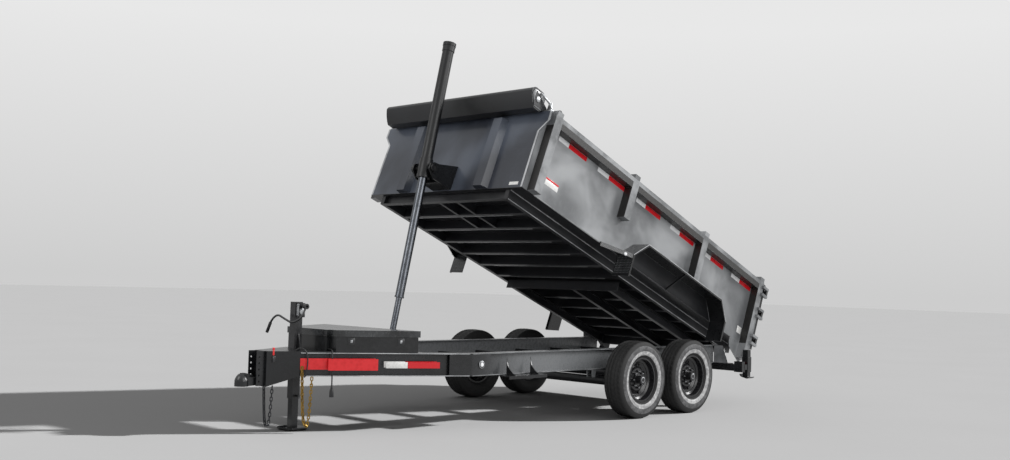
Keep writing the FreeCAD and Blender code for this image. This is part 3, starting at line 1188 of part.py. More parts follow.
def make_sleeve():
    """Middle stage, hidden inside the first stage while the bed is as drawn."""
    tube = rod((0, 0, -SLEEVE_BOTTOM), (0, 0, SLEEVE_LEN - SLEEVE_BOTTOM), SLEEVE_R, SLEEVE_BORE)
    band = rod((0, 0, -SLEEVE_BOTTOM), (0, 0, -SLEEVE_BOTTOM + 30), STAGE1_BORE - RUNNING_GAP, SLEEVE_BORE)
    return fuse([tube, band])


def make_stage1():
    """First stage with its end ring."""
    tube = rod((0, 0, -STAGE1_BOTTOM), (0, 0, STAGE1_LEN - STAGE1_BOTTOM), STAGE1_R, STAGE1_BORE)
    ring = rod((0, 0, -STAGE1_BOTTOM), (0, 0, -STAGE1_BOTTOM + 14), STAGE1_R + 4, STAGE2_R + RUNNING_GAP)
    return fuse([tube, ring])


def make_stage2():
    """Second stage with the eye that sits between the base ears."""
    bar = rod((0, 0, -REACH + EYE_R * 0.6), (0, 0, STAGE2_LEN - REACH), STAGE2_R)
    eye = rod((0, -EYE_W / 2, -REACH), (0, EYE_W / 2, -REACH), EYE_R)
    return fuse([bar, eye])


def main():
    """Build every node, set the origin and write one file for each."""
    nodes = {}
    rail = make_main_rail()
    tongue = make_tongue_beam()
    beam_left = fuse([rail, tongue])
    nodes["frame_beam_left"] = beam_left
    nodes["frame_beam_right"] = mirror_y(beam_left)
    nodes["tongue_nose"] = fuse([make_nose(), make_coupler_channel()])
    nodes["ball_coupler"] = make_ball_coupler()
    nodes["jack_housing"] = fuse([make_jack_housing(), make_jack_crank()])
    nodes["jack_leg"] = make_jack_leg()
    nodes["toolbox"] = make_toolbox()
    nodes["toolbox_lid"] = make_toolbox_lid()
    nodes["power_unit"] = make_power_unit()
    nodes["cross_members"] = make_cross_members()
    nodes["side_steps"] = make_side_steps()
    nodes["tail_frame"] = make_tail_frame()
    stabilizer = make_stabilizer_leg()
    nodes["stabilizer_leg_left"] = stabilizer
    nodes["stabilizer_leg_right"] = mirror_y(stabilizer)
    nodes["cylinder_base"] = make_cylinder_base()
    nodes["axles"] = make_axles()
    nodes["leaf_springs"] = make_leaf_springs()
    for end, x in (("front", AXLE_SPACING / 2), ("rear", -AXLE_SPACING / 2)):
        for name, side in (("left", 1), ("right", -1)):
            nodes["tyre_%s_%s" % (end, name)] = make_tyre(x, side)
            nodes["rim_%s_%s" % (end, name)] = make_rim(x, side)
    nodes["safety_chain_gold"] = make_gold_chain()
    nodes["safety_chain_dark"] = make_dark_chain()
    nodes["trailer_cord"] = fuse([make_trailer_cord(), make_cord_plug()])
    nodes["frame_lamps"] = make_frame_lamps()

    bed_nodes = {
        "bed_frame": make_bed_frame(),
        "lift_frame": make_lift_frame(),
        "bed_floor": make_bed_floor(),
        "side_wall_left": make_side_wall(),
        "side_wall_right": mirror_y(make_side_wall()),
        "front_wall": make_front_wall(),
        "cylinder_bracket": make_cylinder_bracket(),
        "tarp_housing": make_tarp_housing(),
        "fender_left": make_fender(),
        "fender_right": mirror_y(make_fender()),
        "door_left": make_door(),
        "door_right": mirror_y(make_door()),
    }
    for name, shape in bed_nodes.items():
        nodes[name] = bed_to_chassis(shape)

    nodes["cylinder_barrel"] = lean(make_barrel())
    nodes["cylinder_sleeve"] = lean(make_sleeve())
    nodes["cylinder_stage1"] = lean(make_stage1())
    nodes["cylinder_stage2"] = lean(make_stage2())

    bounds = Part.makeCompound(list(nodes.values())).optimalBoundingBox(False, False)
    shift = -(bounds.XMin + bounds.XMax) / 2
    os.makedirs("parts", exist_ok=True)
    for name, shape in nodes.items():
        placed = moved(shape, shift, 0, 0)
        if not placed.isValid():
            print("not valid:", name)
        placed.exportStep("parts/%s.step" % name)
    print("origin moved by", round(shift, 3), "nodes", len(nodes))
    print("box", [round(v, 1) for v in (bounds.XMin, bounds.XMax, bounds.YMin, bounds.YMax, bounds.ZMin, bounds.ZMax)])
    return nodes, shift


NODES, SHIFT = main()
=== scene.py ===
"""Look of a tandem-axle dump trailer with its bed raised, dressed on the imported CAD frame."""

from __future__ import annotations

import logging
import math
from dataclasses import dataclass
from enum import Enum
from typing import Callable, Iterable, Sequence

import bmesh
import bpy
from mathutils import Matrix, Vector

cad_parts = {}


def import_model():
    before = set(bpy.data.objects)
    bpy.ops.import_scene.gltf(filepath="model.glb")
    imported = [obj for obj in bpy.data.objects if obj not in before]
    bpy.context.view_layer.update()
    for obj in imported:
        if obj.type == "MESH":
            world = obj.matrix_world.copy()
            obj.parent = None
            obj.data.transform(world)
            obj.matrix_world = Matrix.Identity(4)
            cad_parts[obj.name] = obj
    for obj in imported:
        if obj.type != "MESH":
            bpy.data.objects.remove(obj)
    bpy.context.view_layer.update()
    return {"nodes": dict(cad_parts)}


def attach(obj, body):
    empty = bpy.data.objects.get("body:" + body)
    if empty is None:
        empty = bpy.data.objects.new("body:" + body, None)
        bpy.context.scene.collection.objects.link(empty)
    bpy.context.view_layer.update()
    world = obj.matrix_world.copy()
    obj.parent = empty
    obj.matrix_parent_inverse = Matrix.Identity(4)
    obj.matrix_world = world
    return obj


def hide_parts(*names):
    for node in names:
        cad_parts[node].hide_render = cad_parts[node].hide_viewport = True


LOG = logging.getLogger("dump_trailer")
Point = tuple[float, float, float]
Place = Callable[[Sequence[float]], Vector]

# Metres, the frame's own axes: +X to the hitch, +Y to the trailer's left, +Z up.
# The chassis was drawn from the point on the floor midway between the axles.
CHASSIS_SHIFT_X = -1.14032
TILT_DEG = 21.7
PIVOT_X = -1.419
PIVOT_Z = 0.585
PIVOT_U = 0.013
PIVOT_V = -0.106
# Faces that the CAD has: outside of the rails, side sheets, posts and fenders, and front sheet of the bed.
RAIL_Y = 0.915
WALL_Y = 1.082
POST_Y = 1.176
FENDER_Y = 1.290
FRONT_U = 3.905
# Tape, film and a worn edge stand this far out of the face under them.
FILM = 0.0008
# Edges flatter than this are shaded smooth.
SMOOTH_DEG = 35.0


def chassis(point: Sequence[float]) -> Vector:
    """Place a point given forward, left and up from midway between the axles, in metres."""
    return Vector((point[0] + CHASSIS_SHIFT_X, point[1], point[2]))


def bed(point: Sequence[float]) -> Vector:
    """Place a point given in the bed's own axes, with the bed raised.

    Args:
        point: Forward along the floor, left, and square up from the floor frame, in metres.

    Returns:
        The point in the frame's axes.
    """
    turn = math.radians(TILT_DEG)
    forward = point[0] - PIVOT_U
    upward = point[2] - PIVOT_V
    return chassis((
        PIVOT_X + forward * math.cos(turn) - upward * math.sin(turn),
        point[1],
        PIVOT_Z + forward * math.sin(turn) + upward * math.cos(turn),
    ))


def mirrored(place: Place) -> Place:
    """The same placing on the trailer's other side.

    Args:
        place: A placing for the left side.

    Returns:
        A placing that gives the right side's point.
    """
    def other(point: Sequence[float]) -> Vector:
        """Place the point with its Y turned over."""
        return place((point[0], -point[1], point[2]))

    return other


class Side(Enum):
    """Left or right of the trailer."""

    LEFT = 1
    RIGHT = -1

    @property
    def word(self) -> str:
        """The side's name as the CAD nodes spell it."""
        return self.name.lower()

    def place(self, base: Place) -> Place:
        """A placing for this side."""
        return base if self is Side.LEFT else mirrored(base)


# Materials


def linear(hex_colour: str) -> tuple[float, float, float, float]:
    """Turn an sRGB hex colour to the linear values that a socket takes.

    Args:
        hex_colour: Six hex digits, with or without a leading hash.

    Returns:
        Red, green, blue and full alpha.
    """
    digits = hex_colour.lstrip("#")
    channels = []
    for start in (0, 2, 4):
        value = int(digits[start:start + 2], 16) / 255
        channels.append(value / 12.92 if value <= 0.04045 else ((value + 0.055) / 1.055) ** 2.4)
    return channels[0], channels[1], channels[2], 1.0


def add_node(tree: bpy.types.NodeTree, kind: str, settings: dict | None = None,
             inputs: dict | None = None) -> bpy.types.Node:
    """Add a node with its settings, values and links.

    Args:
        tree: The tree that it joins.
        kind: The node's type name.
        settings: Attributes to set on the node.
        inputs: Values or sockets by input name or index; a socket is linked.

    Returns:
        The new node.
    """
    node = tree.nodes.new(kind)
    for name, value in (settings or {}).items():
        setattr(node, name, value)
    for name, value in (inputs or {}).items():
        socket = node.inputs[name]
        if isinstance(value, bpy.types.NodeSocket):
            tree.links.new(value, socket)
        else:
            socket.default_value = value
    return node


class Finish:
    """A material while it is made, with the few kinds of node that every finish is put together from."""

    def __init__(self, name: str) -> None:
        """Start an empty material with its output.

        Args:
            name: The material's name.
        """
        self.material = bpy.data.materials.new(name)
        self.material.use_nodes = True
        self.tree = self.material.node_tree
        self.tree.nodes.clear()
        self.output = add_node(self.tree, "ShaderNodeOutputMaterial")
        self.where = self.coordinates()

    def coordinates(self, stretch: Sequence[float] = (1, 1, 1)) -> bpy.types.NodeSocket:
        """Object coordinates, with the pattern stretched on each axis."""
        source = add_node(self.tree, "ShaderNodeTexCoord").outputs["Object"]
        stretched = add_node(self.tree, "ShaderNodeMapping", inputs={"Vector": source, "Scale": stretch})
        return stretched.outputs[0]

    def noise(self, where: bpy.types.NodeSocket, scale: float, **more: float) -> bpy.types.NodeSocket:
        """Cloudy noise of a scale, its other values given by name."""
        return add_node(self.tree, "ShaderNodeTexNoise", inputs={
            "Vector": where, "Scale": scale, **more}).outputs["Fac"]

    def remap(self, value: bpy.types.NodeSocket, low: float, high: float, bottom: float, top: float,
              kind: str = "LINEAR") -> bpy.types.NodeSocket:
        """Turn the span from low to high into the span from bottom to top."""
        return add_node(self.tree, "ShaderNodeMapRange", {"interpolation_type": kind}, {
            0: value, 1: low, 2: high, 3: bottom, 4: top}).outputs[0]

    def blend(self, share: bpy.types.NodeSocket, first: str | bpy.types.NodeSocket,
              second: str) -> bpy.types.NodeSocket:
        """Mix two colours.

        Args:
            share: How much of the second shows.
            first: Hex digits, or the colour so far.
            second: Hex digits.

        Returns:
            The mixed colour.
        """
        colour = linear(first) if isinstance(first, str) else first
        mixed = add_node(self.tree, "ShaderNodeMix", {"data_type": "RGBA"}, {
            0: share, 6: colour, 7: linear(second)})
        return mixed.outputs[2]

    def relief(self, height: bpy.types.NodeSocket, strength: float, depth: float) -> bpy.types.NodeSocket:
        """Raised grain from a height, with its depth in metres."""
        return add_node(self.tree, "ShaderNodeBump", inputs={
            "Height": height, "Strength": strength, "Distance": depth}).outputs["Normal"]

    def surface(self, inputs: dict) -> bpy.types.Material:
        """End the material with its shader.

        Args:
            inputs: Values or sockets by input name.

        Returns:
            The finished material.
        """
        shader = add_node(self.tree, "ShaderNodeBsdfPrincipled", inputs=inputs)
        self.tree.links.new(shader.outputs["BSDF"], self.output.inputs["Surface"])
        return self.material


@dataclass(frozen=True)
class PaintedSteel:
    """Sprayed and baked powder coat on steel: deep gloss with a faint orange peel.

    The sky reflection is painted: soft pale patches mixed into the colour, as a flat sheet of this coat reflects the
    daylight sky.
    """

    name: str
    base: str
    sky_reflection: str
    sky_reflection_size_m: float = 0.7
    sky_reflection_share: float = 0.5
    dust: str = "#4d4e50"
    dust_share: float = 0.10
    roughness: float = 0.30
    coat: float = 0.25
    peel_mm: float = 4.0
    peel_strength: float = 0.06
    # where a painted sheen, a softbox's reflection painted into the colour, starts, forward in metres, and how far back
    # it grows
    sheen_from_m: float | None = None
    sheen_run_m: float = 0.8
    pale: str = "#747678"

    def build(self) -> bpy.types.Material:
        """Make the material.

        Returns:
            The finished material.
        """
        finish = Finish(self.name)
        # painted reflection of the sky: pale patches mixed into the base colour
        sky_patches = finish.noise(
            finish.where, 1.0 / self.sky_reflection_size_m, Detail=3.0, Roughness=0.45, Distortion=0.35)
        share = finish.remap(sky_patches, 0.38, 0.68, 0.0, self.sky_reflection_share, "SMOOTHSTEP")
        colour = finish.blend(share, self.base, self.sky_reflection)
        # painted sheen: the colour turns paler towards the rear
        if self.sheen_from_m is not None:
            axes = add_node(finish.tree, "ShaderNodeSeparateXYZ", inputs={"Vector": finish.where})
            sheen_share = finish.remap(axes.outputs["X"], self.sheen_from_m, self.sheen_from_m - self.sheen_run_m,
                                    0.0, 0.85, "SMOOTHSTEP")
            colour = finish.blend(sheen_share, colour, self.pale)
        grain = finish.noise(finish.where, 28.0, Detail=6.0, Roughness=0.7)
        peel = finish.noise(finish.where, 1000.0 / self.peel_mm, Detail=1.0)
        return finish.surface({
            "Base Color": finish.blend(
                finish.remap(grain, 0.48, 0.80, 0.0, self.dust_share), colour, self.dust),
            "Roughness": finish.remap(grain, 0.3, 0.8, self.roughness * 0.82, self.roughness * 1.25),
            "Coat Weight": self.coat, "Coat Roughness": 0.12, "IOR": 1.5,
            "Normal": finish.relief(peel, self.peel_strength, 0.0006)})


@dataclass(frozen=True)
class BareMetal:
    """Plated, ground or polished steel: the brush runs along one axis and spreads the light."""

    name: str
    base: str
    worn: str
    roughness: float
    stretch: tuple[float, float, float] = (1.0, 1.0, 1.0)
    grain_mm: float = 7.2

    def build(self) -> bpy.types.Material:
        """Make the material.

        Returns:
            The finished material.
        """
        finish = Finish(self.name)
        brush = finish.noise(finish.coordinates(self.stretch), 1000.0 / self.grain_mm, Detail=3.0)
        patches = finish.noise(finish.where, 16.0, Detail=4.0, Roughness=0.6)
        return finish.surface({
            "Base Color": finish.blend(finish.remap(patches, 0.42, 0.75, 0.0, 0.6), self.base, self.worn),
            "Metallic": 1.0,
            "Roughness": finish.remap(brush, 0.3, 0.7, self.roughness * 0.8, self.roughness * 1.3),
            "Normal": finish.relief(brush, 0.08, 0.0004)})


@dataclass(frozen=True)
class Rubber:
    """Moulded carbon-black rubber: matt, with pale dust in its low parts."""

    name: str
    base: str
    dust: str
    dust_share: float = 0.35
    roughness: float = 0.72
    grain_mm: float = 3.0

    def build(self) -> bpy.types.Material:
        """Make the material.

        Returns:
            The finished material.
        """
        finish = Finish(self.name)
        dust = finish.noise(finish.where, 22.0, Detail=6.0, Roughness=0.75)
        fine = finish.noise(finish.where, 1000.0 / self.grain_mm, Detail=2.0)
        return finish.surface({
            "Base Color": finish.blend(
                finish.remap(dust, 0.42, 0.78, 0.0, self.dust_share), self.base, self.dust),
            "Roughness": self.roughness, "IOR": 1.52, "Normal": finish.relief(fine, 0.15, 0.0008)})


@dataclass(frozen=True)
class Plastic:
    """Moulded plastic, film or a lens: even colour with a fine texture."""

    name: str
    base: str
    shade: str
    roughness: float = 0.25
    grain_mm: float = 6.0
    # glow paints light into the colour: painted light on tape, film and the pull pin; on the lenses it stands for the
    # lamps
    glow: float = 0.0

    def build(self) -> bpy.types.Material:
        """Make the material.

        Returns:
            The finished material.
        """
        finish = Finish(self.name)
        cells = add_node(finish.tree, "ShaderNodeTexVoronoi", inputs={
            "Vector": finish.where, "Scale": 1000.0 / self.grain_mm}).outputs["Distance"]
        tone = finish.blend(finish.remap(cells, 0.2, 0.7, 0.0, 0.8), self.base, self.shade)
        return finish.surface({
            "Base Color": tone, "Roughness": self.roughness, "IOR": 1.49, "Coat Weight": 0.3,
            "Normal": finish.relief(cells, 0.12, 0.0006),
            **({"Emission Color": tone, "Emission Strength": self.glow} if self.glow > 0 else {})})


class Finishes:
    """Every finish on the trailer, built once and looked up by its name."""

    TABLE = {
        "frame_black": PaintedSteel("powder_coat_frame", "#0b0c0e", "#1e2023", dust="#3c3d3f"),
        "beam_black": PaintedSteel("powder_coat_beam", "#0e0f11", "#3c3e40", 1.1, 0.55, "#4d4e50", 0.06, 0.28,
                                   sheen_from_m=1.35),
        # painted light: the bed's black coat is painted mid grey on the side sheets, as lit by the sun, and dark
        # blue-grey on the front sheet, as in shade
        "wall_black": PaintedSteel("powder_coat_side_sheet_painted_lit", "#5f6163", "#a9abad", 0.62, 0.70, "#8b8c8e",
                                   0.22, 0.34),
        "front_black": PaintedSteel("powder_coat_front_sheet", "#262a33", "#565d69", 0.9, 0.8, "#5a606c",
                                    0.14, 0.36),
        "under_black": PaintedSteel("powder_coat_underside", "#131417", "#26272b", 0.8, 0.6, "#3c3c3f",
                                    0.12, 0.42, coat=0.1),
        "wheel_black": PaintedSteel("powder_coat_wheel", "#141416", "#242427", 0.2, 0.5, "#59595b", 0.16),
        "box_black": PaintedSteel("powder_coat_toolbox", "#0c0d0f", "#202225", 0.4, 0.5, "#4d4e50",
                                  0.16, 0.33),
        "jack_grey": PaintedSteel("jack_enamel", "#0f0f11", "#2a2a2d", 0.15, 0.5, "#5d5d60", 0.2, 0.38),
        "cylinder_black": PaintedSteel("cylinder_enamel", "#07080a", "#101216", 0.3, 0.5, "#24262b",
                                       0.1, 0.42, coat=0.05),
        "tarp_cover": PaintedSteel("tarp_cover_paint", "#0d0e10", "#1c1e22", 0.5, 0.7, "#38393d", 0.15, 0.45,
                                   coat=0.1),
        "lid_paint": PaintedSteel("powder_coat_lid", "#1a1b1c", "#4e5052", 0.35, 0.6, "#77787a", 0.2, 0.26),
        # painted highlights: two pale greys laid as thin films on edges and lit faces, and given to tread bosses and
        # weld dots; the tarp's end plates use the grey one too
        "edge_grey": PaintedSteel("powder_coat_highlight_grey", "#606264", "#9a9c9e", 0.25, 0.8, "#a8a9aa",
                                  0.35, 0.32),
        "edge_bright": PaintedSteel("powder_coat_highlight_bright", "#8c8e90", "#c4c6c8", 0.2, 0.8, "#d4d5d6",
                                    0.5, 0.32),
        # painted shade: dark films on the top rail's flank and underside and on the posts' front faces; the pocket
        # plugs are made in it too
        "shade_black": PaintedSteel("powder_coat_rail_flank", "#1d1c1b", "#272625", 0.5, 0.5, "#464443",
                                    0.12, 0.45, coat=0.1),
        "stage_chrome": BareMetal("ground_chrome_stage", "#66696e", "#3f4248", 0.26, (1.0, 1.0, 0.08)),
        "zinc": BareMetal("zinc_plate", "#b4b6b8", "#75777a", 0.34),
        "gold_zinc": BareMetal("yellow_zinc_chain", "#a98a4a", "#5b4a2a", 0.4),
        "dark_chain": BareMetal("oiled_steel_chain", "#4a4b4e", "#232427", 0.45),
        "tyre": Rubber("tyre_rubber", "#121213", "#2c2b29"),
        "tyre_side": Rubber("tyre_sidewall", "#39393a", "#8a8a8c", 0.6, 0.6),
        "tyre_band": Rubber("tyre_sidewall_band", "#858586", "#dcdcdb", 1.0, 0.55),
        "jacket": Rubber("cord_jacket_rubber", "#151516", "#2c2c2d", 0.2, 0.5),
        "lamp_red": Plastic("red_lens", "#a01616", "#c9302a", glow=0.15),
        "lamp_clear": Plastic("clear_lens", "#d8dadc", "#f2f3f4", glow=0.1),
        "tape_red": Plastic("red_reflective_tape", "#c4101a", "#d81e28", grain_mm=4.0),
        # the white tape, red film and red pin glow a little: painted light
        "tape_white": Plastic("white_reflective_tape", "#c4c6c8", "#e6e7e8", grain_mm=4.0, glow=0.05),
        "red_band": Plastic("red_film", "#c01218", "#cf2127", 0.35, 30.0, 0.12),
        "plate_white": Plastic("white_plate", "#d4d4d2", "#e4e4e2", 0.35, 20.0),
        "red_plastic": Plastic("red_plastic", "#c4161a", "#d83030", glow=0.1),
        "black_plastic": Plastic("black_plastic", "#17181a", "#232427", 0.4),
    }

    def __init__(self) -> None:
        """Build the materials."""
        self.made = {name: finish.build() for name, finish in self.TABLE.items()}

    def __getattr__(self, name: str) -> bpy.types.Material:
        """The finish of that name."""
        return self.made[name]


# Building pieces


def in_scene(name: str, data: bpy.types.ID) -> bpy.types.Object:
    """Make an object and link it to the scene.

    Args:
        name: The object's name.
        data: Its mesh, curve, lamp or camera.

    Returns:
        The new object.
    """
    thing = bpy.data.objects.new(name, data)
    bpy.context.scene.collection.objects.link(thing)
    return thing


def ring(centre: Vector, side: Vector, up: Vector, radius: float, count: int) -> list[Vector]:
    """Points round a centre.

    Args:
        centre: The centre.
        side: Direction of the first point.
        up: Direction of the point a quarter turn on.
        radius: Distance from the centre.
        count: Number of points.

    Returns:
        The points in order.
    """
    turns = [2 * math.pi * k / count for k in range(count)]
    return [centre + (side * math.cos(turn) + up * math.sin(turn)) * radius for turn in turns]


class Piece:
    """One mesh put together from simple closed forms."""

    def __init__(self, name: str, place: Place = chassis) -> None:
        """Start an empty piece.

        Args:
            name: The object's name.
            place: How its points are placed in the frame.
        """
        self.name = name
        self.place = place
        self.mesh = bmesh.new()

    def column(self, points: Sequence[Sequence[float]]) -> None:
        """Add a closed form whose two ends have the same number of corners.

        Args:
            points: Corners of the first end in order, then those of the other, in the piece's own axes.
        """
        corners = [self.mesh.verts.new(self.place(p)) for p in points]
        count = len(corners) // 2
        self.mesh.faces.new(corners[:count][::-1])
        self.mesh.faces.new(corners[count:])
        for i in range(count):
            j = (i + 1) % count
            self.mesh.faces.new([corners[i], corners[j], corners[count + j], corners[count + i]])

    def block(self, low: Sequence[float], high: Sequence[float]) -> None:
        """Add a block between two corners.

        Args:
            low: The lowest corner.
            high: The highest corner.
        """
        (x0, y0, z0), (x1, y1, z1) = low, high
        points = [(x, y, z) for z in (z0, z1) for x, y in ((x0, y0), (x1, y0), (x1, y1), (x0, y1))]
        self.column(points)

    def prism(self, outline: Sequence[Sequence[float]], depth: Sequence[float]) -> None:
        """Add a prism from a flat outline.

        Args:
            outline: Corners in order.
            depth: The move from the outline to its other end.
        """
        self.column(list(outline) + [tuple(p[i] + depth[i] for i in range(3)) for p in outline])

    def rod(self, start: Sequence[float], end: Sequence[float], radius: float, sides: int = 16,
            end_radius: float | None = None) -> None:
        """Add a round bar.

        Args:
            start: Middle of its first end.
            end: Middle of its other end.
            radius: Its radius at the start.
            sides: Number of flats round it.
            end_radius: Its radius at the other end, where it tapers.
        """
        first, last = Vector(start), Vector(end)
        axis = (last - first).normalized()
        side = axis.orthogonal().normalized()
        up = axis.cross(side)
        last_radius = radius if end_radius is None else end_radius
        self.column(ring(first, side, up, radius, sides) + ring(last, side, up, last_radius, sides))

    def pipe(self, route: Sequence[Sequence[float]], radius: float, sides: int = 10) -> None:
        """Add a bent round bar through the points of a smooth route.

        Args:
            route: Points along its middle line.
            radius: Its radius.
            sides: Number of flats round it.
        """
        line = smooth_route(route)
        rings = []
        side = (line[1] - line[0]).orthogonal().normalized()
        for i, centre in enumerate(line):
            ahead = line[min(i + 1, len(line) - 1)] - line[max(i - 1, 0)]
            axis = ahead.normalized()
            side = (side - axis * side.dot(axis)).normalized()
            spots = ring(centre, side, axis.cross(side), radius, sides)
            rings.append([self.mesh.verts.new(self.place(spot)) for spot in spots])
        for first, last in zip(rings, rings[1:]):
            for k in range(sides):
                j = (k + 1) % sides
                self.mesh.faces.new((first[k], first[j], last[j], last[k]))
        self.mesh.faces.new(rings[0][::-1])
        self.mesh.faces.new(rings[-1])

    def bolt(self, foot: Sequence[float], way: Sequence[float], radius: float, height: float) -> None:
        """Add a bolt head with its washer.

        Args:
            foot: Middle of its seat.
            way: Direction that it points.
            radius: Half its width across corners.
            height: Its height.
        """
        base = Vector(foot)
        axis = Vector(way).normalized()
        self.rod(base, base + axis * height * 0.25, radius * 1.35, 16)
        self.rod(base + axis * height * 0.25, base + axis * height, radius, 6)

    def finish(self, body: str, material: bpy.types.Material, slot: str,
               bevel: float = 0.0) -> bpy.types.Object:
        """Turn the piece into an object that rides on a body.

        Args:
            body: The CAD body that carries it.
            material: Its finish.
            slot: Not used.
            bevel: Width of the rounding on its edges, in metres.

        Returns:
            The finished object.
        """
        bmesh.ops.recalc_face_normals(self.mesh, faces=self.mesh.faces)
        data = bpy.data.meshes.new(self.name)
        self.mesh.to_mesh(data)
        self.mesh.free()
        thing = in_scene(self.name, data)
        data.materials.append(material)
        if bevel > 0:
            rounding = thing.modifiers.new("rounding", "BEVEL")
            rounding.width = bevel
            rounding.segments = 2
            rounding.limit_method = "ANGLE"
            rounding.angle_limit = math.radians(40)
            made_plain(thing)
        shade(thing, SMOOTH_DEG)
        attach(thing, body)
        LOG.info("%s rides on %s", self.name, body)
        return thing


def fitting(name: str, place: Place, body: str, material: bpy.types.Material, blocks: Iterable[Sequence] = (),
            rods: Iterable[Sequence] = (), bevel: float = 0.0, slot: str = "black_paint") -> None:
    """Make one piece from blocks and round bars.

    Args:
        name: The piece's name.
        place: How its points are placed in the frame.
        body: The CAD body that carries it.
        material: Its finish.
        blocks: Lowest and highest corner of each block.
        rods: Both ends, radius, flats and end radius of each bar.
        bevel: Width of the rounding on its edges, in metres.
        slot: Name of that finish's slot, handed on to the piece.
    """
    piece = Piece(name, place)
    for block in blocks:
        piece.block(*block)
    for rod in rods:
        piece.rod(*rod)
    piece.finish(body, material, slot, bevel)


def smooth_route(route: Sequence[Sequence[float]], steps: int = 6) -> list[Vector]:
    """Points on a smooth line through a route.

    Args:
        route: The points it goes through.
        steps: Cuts in each run.

    Returns:
        The finer points.
    """
    stops = [Vector(p) for p in route]
    line = []
    for i in range(len(stops) - 1):
        before = stops[max(i - 1, 0)]
        start, end = stops[i], stops[i + 1]
        after = stops[min(i + 2, len(stops) - 1)]
        for k in range(steps):
            t = k / steps
            square = 2 * before - 5 * start + 4 * end - after
            cube = 3 * start - before - 3 * end + after
            line.append(0.5 * (2 * start + (end - before) * t + square * t ** 2 + cube * t ** 3))
    line.append(stops[-1])
    return line


def made_plain(thing: bpy.types.Object) -> None:
    """Replace an object's mesh by what its modifiers give.

    Args:
        thing: The object.
    """
    bpy.context.view_layer.update()
    graph = bpy.context.evaluated_depsgraph_get()
    result = bpy.data.meshes.new_from_object(thing.evaluated_get(graph))
    thing.modifiers.clear()
    thing.data = result


def shade(thing: bpy.types.Object, angle_deg: float) -> None:
    """Shade an object smooth, but for its edges sharper than the angle."""
    mesh = thing.data
    mesh.polygons.foreach_set("use_smooth", [True] * len(mesh.polygons))
    mesh.set_sharp_from_angle(angle=math.radians(angle_deg))


# Geometry Nodes


@dataclass
class Repeat:
    """A form repeated at given points, turned to each point's direction."""

    name: str
    radius: float = 0.008
    height: float = 0.006
    sides: int = 6
    washer: float = 1.35

    def tree(self, material: bpy.types.Material) -> bpy.types.NodeTree:
        """Build the node tree.

        Args:
            material: The finish of every copy.

        Returns:
            The tree, with named inputs for its sizes.
        """
        group = bpy.data.node_groups.new(self.name, "GeometryNodeTree")
        face = group.interface
        face.new_socket("Geometry", in_out="INPUT", socket_type="NodeSocketGeometry")
        for label, value in (("Radius", self.radius), ("Height", self.height), ("Washer", self.washer)):
            socket = face.new_socket(label, in_out="INPUT", socket_type="NodeSocketFloat")
            socket.default_value = value
        sides = face.new_socket("Sides", in_out="INPUT", socket_type="NodeSocketInt")
        sides.default_value = self.sides
        face.new_socket("Geometry", in_out="OUTPUT", socket_type="NodeSocketGeometry")
        source = add_node(group, "NodeGroupInput").outputs
        head = add_node(group, "GeometryNodeMeshCylinder", inputs={
            "Vertices": source["Sides"], "Radius": source["Radius"], "Depth": source["Height"]})
        half = add_node(group, "ShaderNodeMath", {"operation": "MULTIPLY"}, {0: source["Height"], 1: 0.5})
        lift = add_node(group, "ShaderNodeCombineXYZ", inputs={"Z": half.outputs[0]})
        raised = add_node(group, "GeometryNodeTransform", inputs={
            "Geometry": head.outputs["Mesh"], "Translation": lift.outputs[0]})
        wide = add_node(group, "ShaderNodeMath", {"operation": "MULTIPLY"}, {
            0: source["Radius"], 1: source["Washer"]})
        thin = add_node(group, "ShaderNodeMath", {"operation": "MULTIPLY"}, {0: source["Height"], 1: 0.3})
        disc = add_node(group, "GeometryNodeMeshCylinder", inputs={
            "Vertices": 12, "Radius": wide.outputs[0], "Depth": thin.outputs[0]})
        both = add_node(group, "GeometryNodeJoinGeometry")
        group.links.new(raised.outputs["Geometry"], both.inputs[0])
        group.links.new(disc.outputs["Mesh"], both.inputs[0])
        way = add_node(group, "GeometryNodeInputNamedAttribute", {"data_type": "FLOAT_VECTOR"}, {
            "Name": "way"})
        turn = add_node(group, "FunctionNodeAlignEulerToVector", {"axis": "Z"}, {
            "Vector": way.outputs["Attribute"]})
        copies = add_node(group, "GeometryNodeInstanceOnPoints", inputs={
            "Points": source["Geometry"], "Instance": both.outputs[0], "Rotation": turn.outputs[0]})
        real = add_node(group, "GeometryNodeRealizeInstances", inputs={"Geometry": copies.outputs[0]})
        dressed = add_node(group, "GeometryNodeSetMaterial", inputs={
            "Geometry": real.outputs[0], "Material": material})
        out = add_node(group, "NodeGroupOutput")
        group.links.new(dressed.outputs[0], out.inputs[0])
        return group

    def make(self, spots: Iterable[tuple[Vector, Vector]], body: str, material: bpy.types.Material) -> bpy.types.Object:
        """Put a copy at every spot and join them in one piece.

        Args:
            spots: Place and direction of each copy, in the frame's axes.
            body: The CAD body that carries them.
            material: Their finish.

        Returns:
            The finished object.
        """
        listed = list(spots)
        points = bpy.data.meshes.new(self.name)
        points.from_pydata([tuple(p) for p, _ in listed], [], [])
        ways = points.attributes.new("way", "FLOAT_VECTOR", "POINT")
        flat = [value for _, way in listed for value in way.normalized()]
        ways.data.foreach_set("vector", flat)
        thing = in_scene(self.name, points)
        modifier = thing.modifiers.new("repeat", "NODES")
        modifier.node_group = self.tree(material)
        values = {"Radius": self.radius, "Height": self.height, "Washer": self.washer, "Sides": self.sides}
        for item in modifier.node_group.interface.items_tree:
            if item.in_out == "INPUT" and item.name in values:
                modifier[item.identifier] = values[item.name]
        made_plain(thing)
        if not thing.data.materials:
            thing.data.materials.append(material)
        shade(thing, SMOOTH_DEG)
        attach(thing, body)
        LOG.info("%s: %d copies on %s", self.name, len(listed), body)
        return thing


# Sub-assemblies


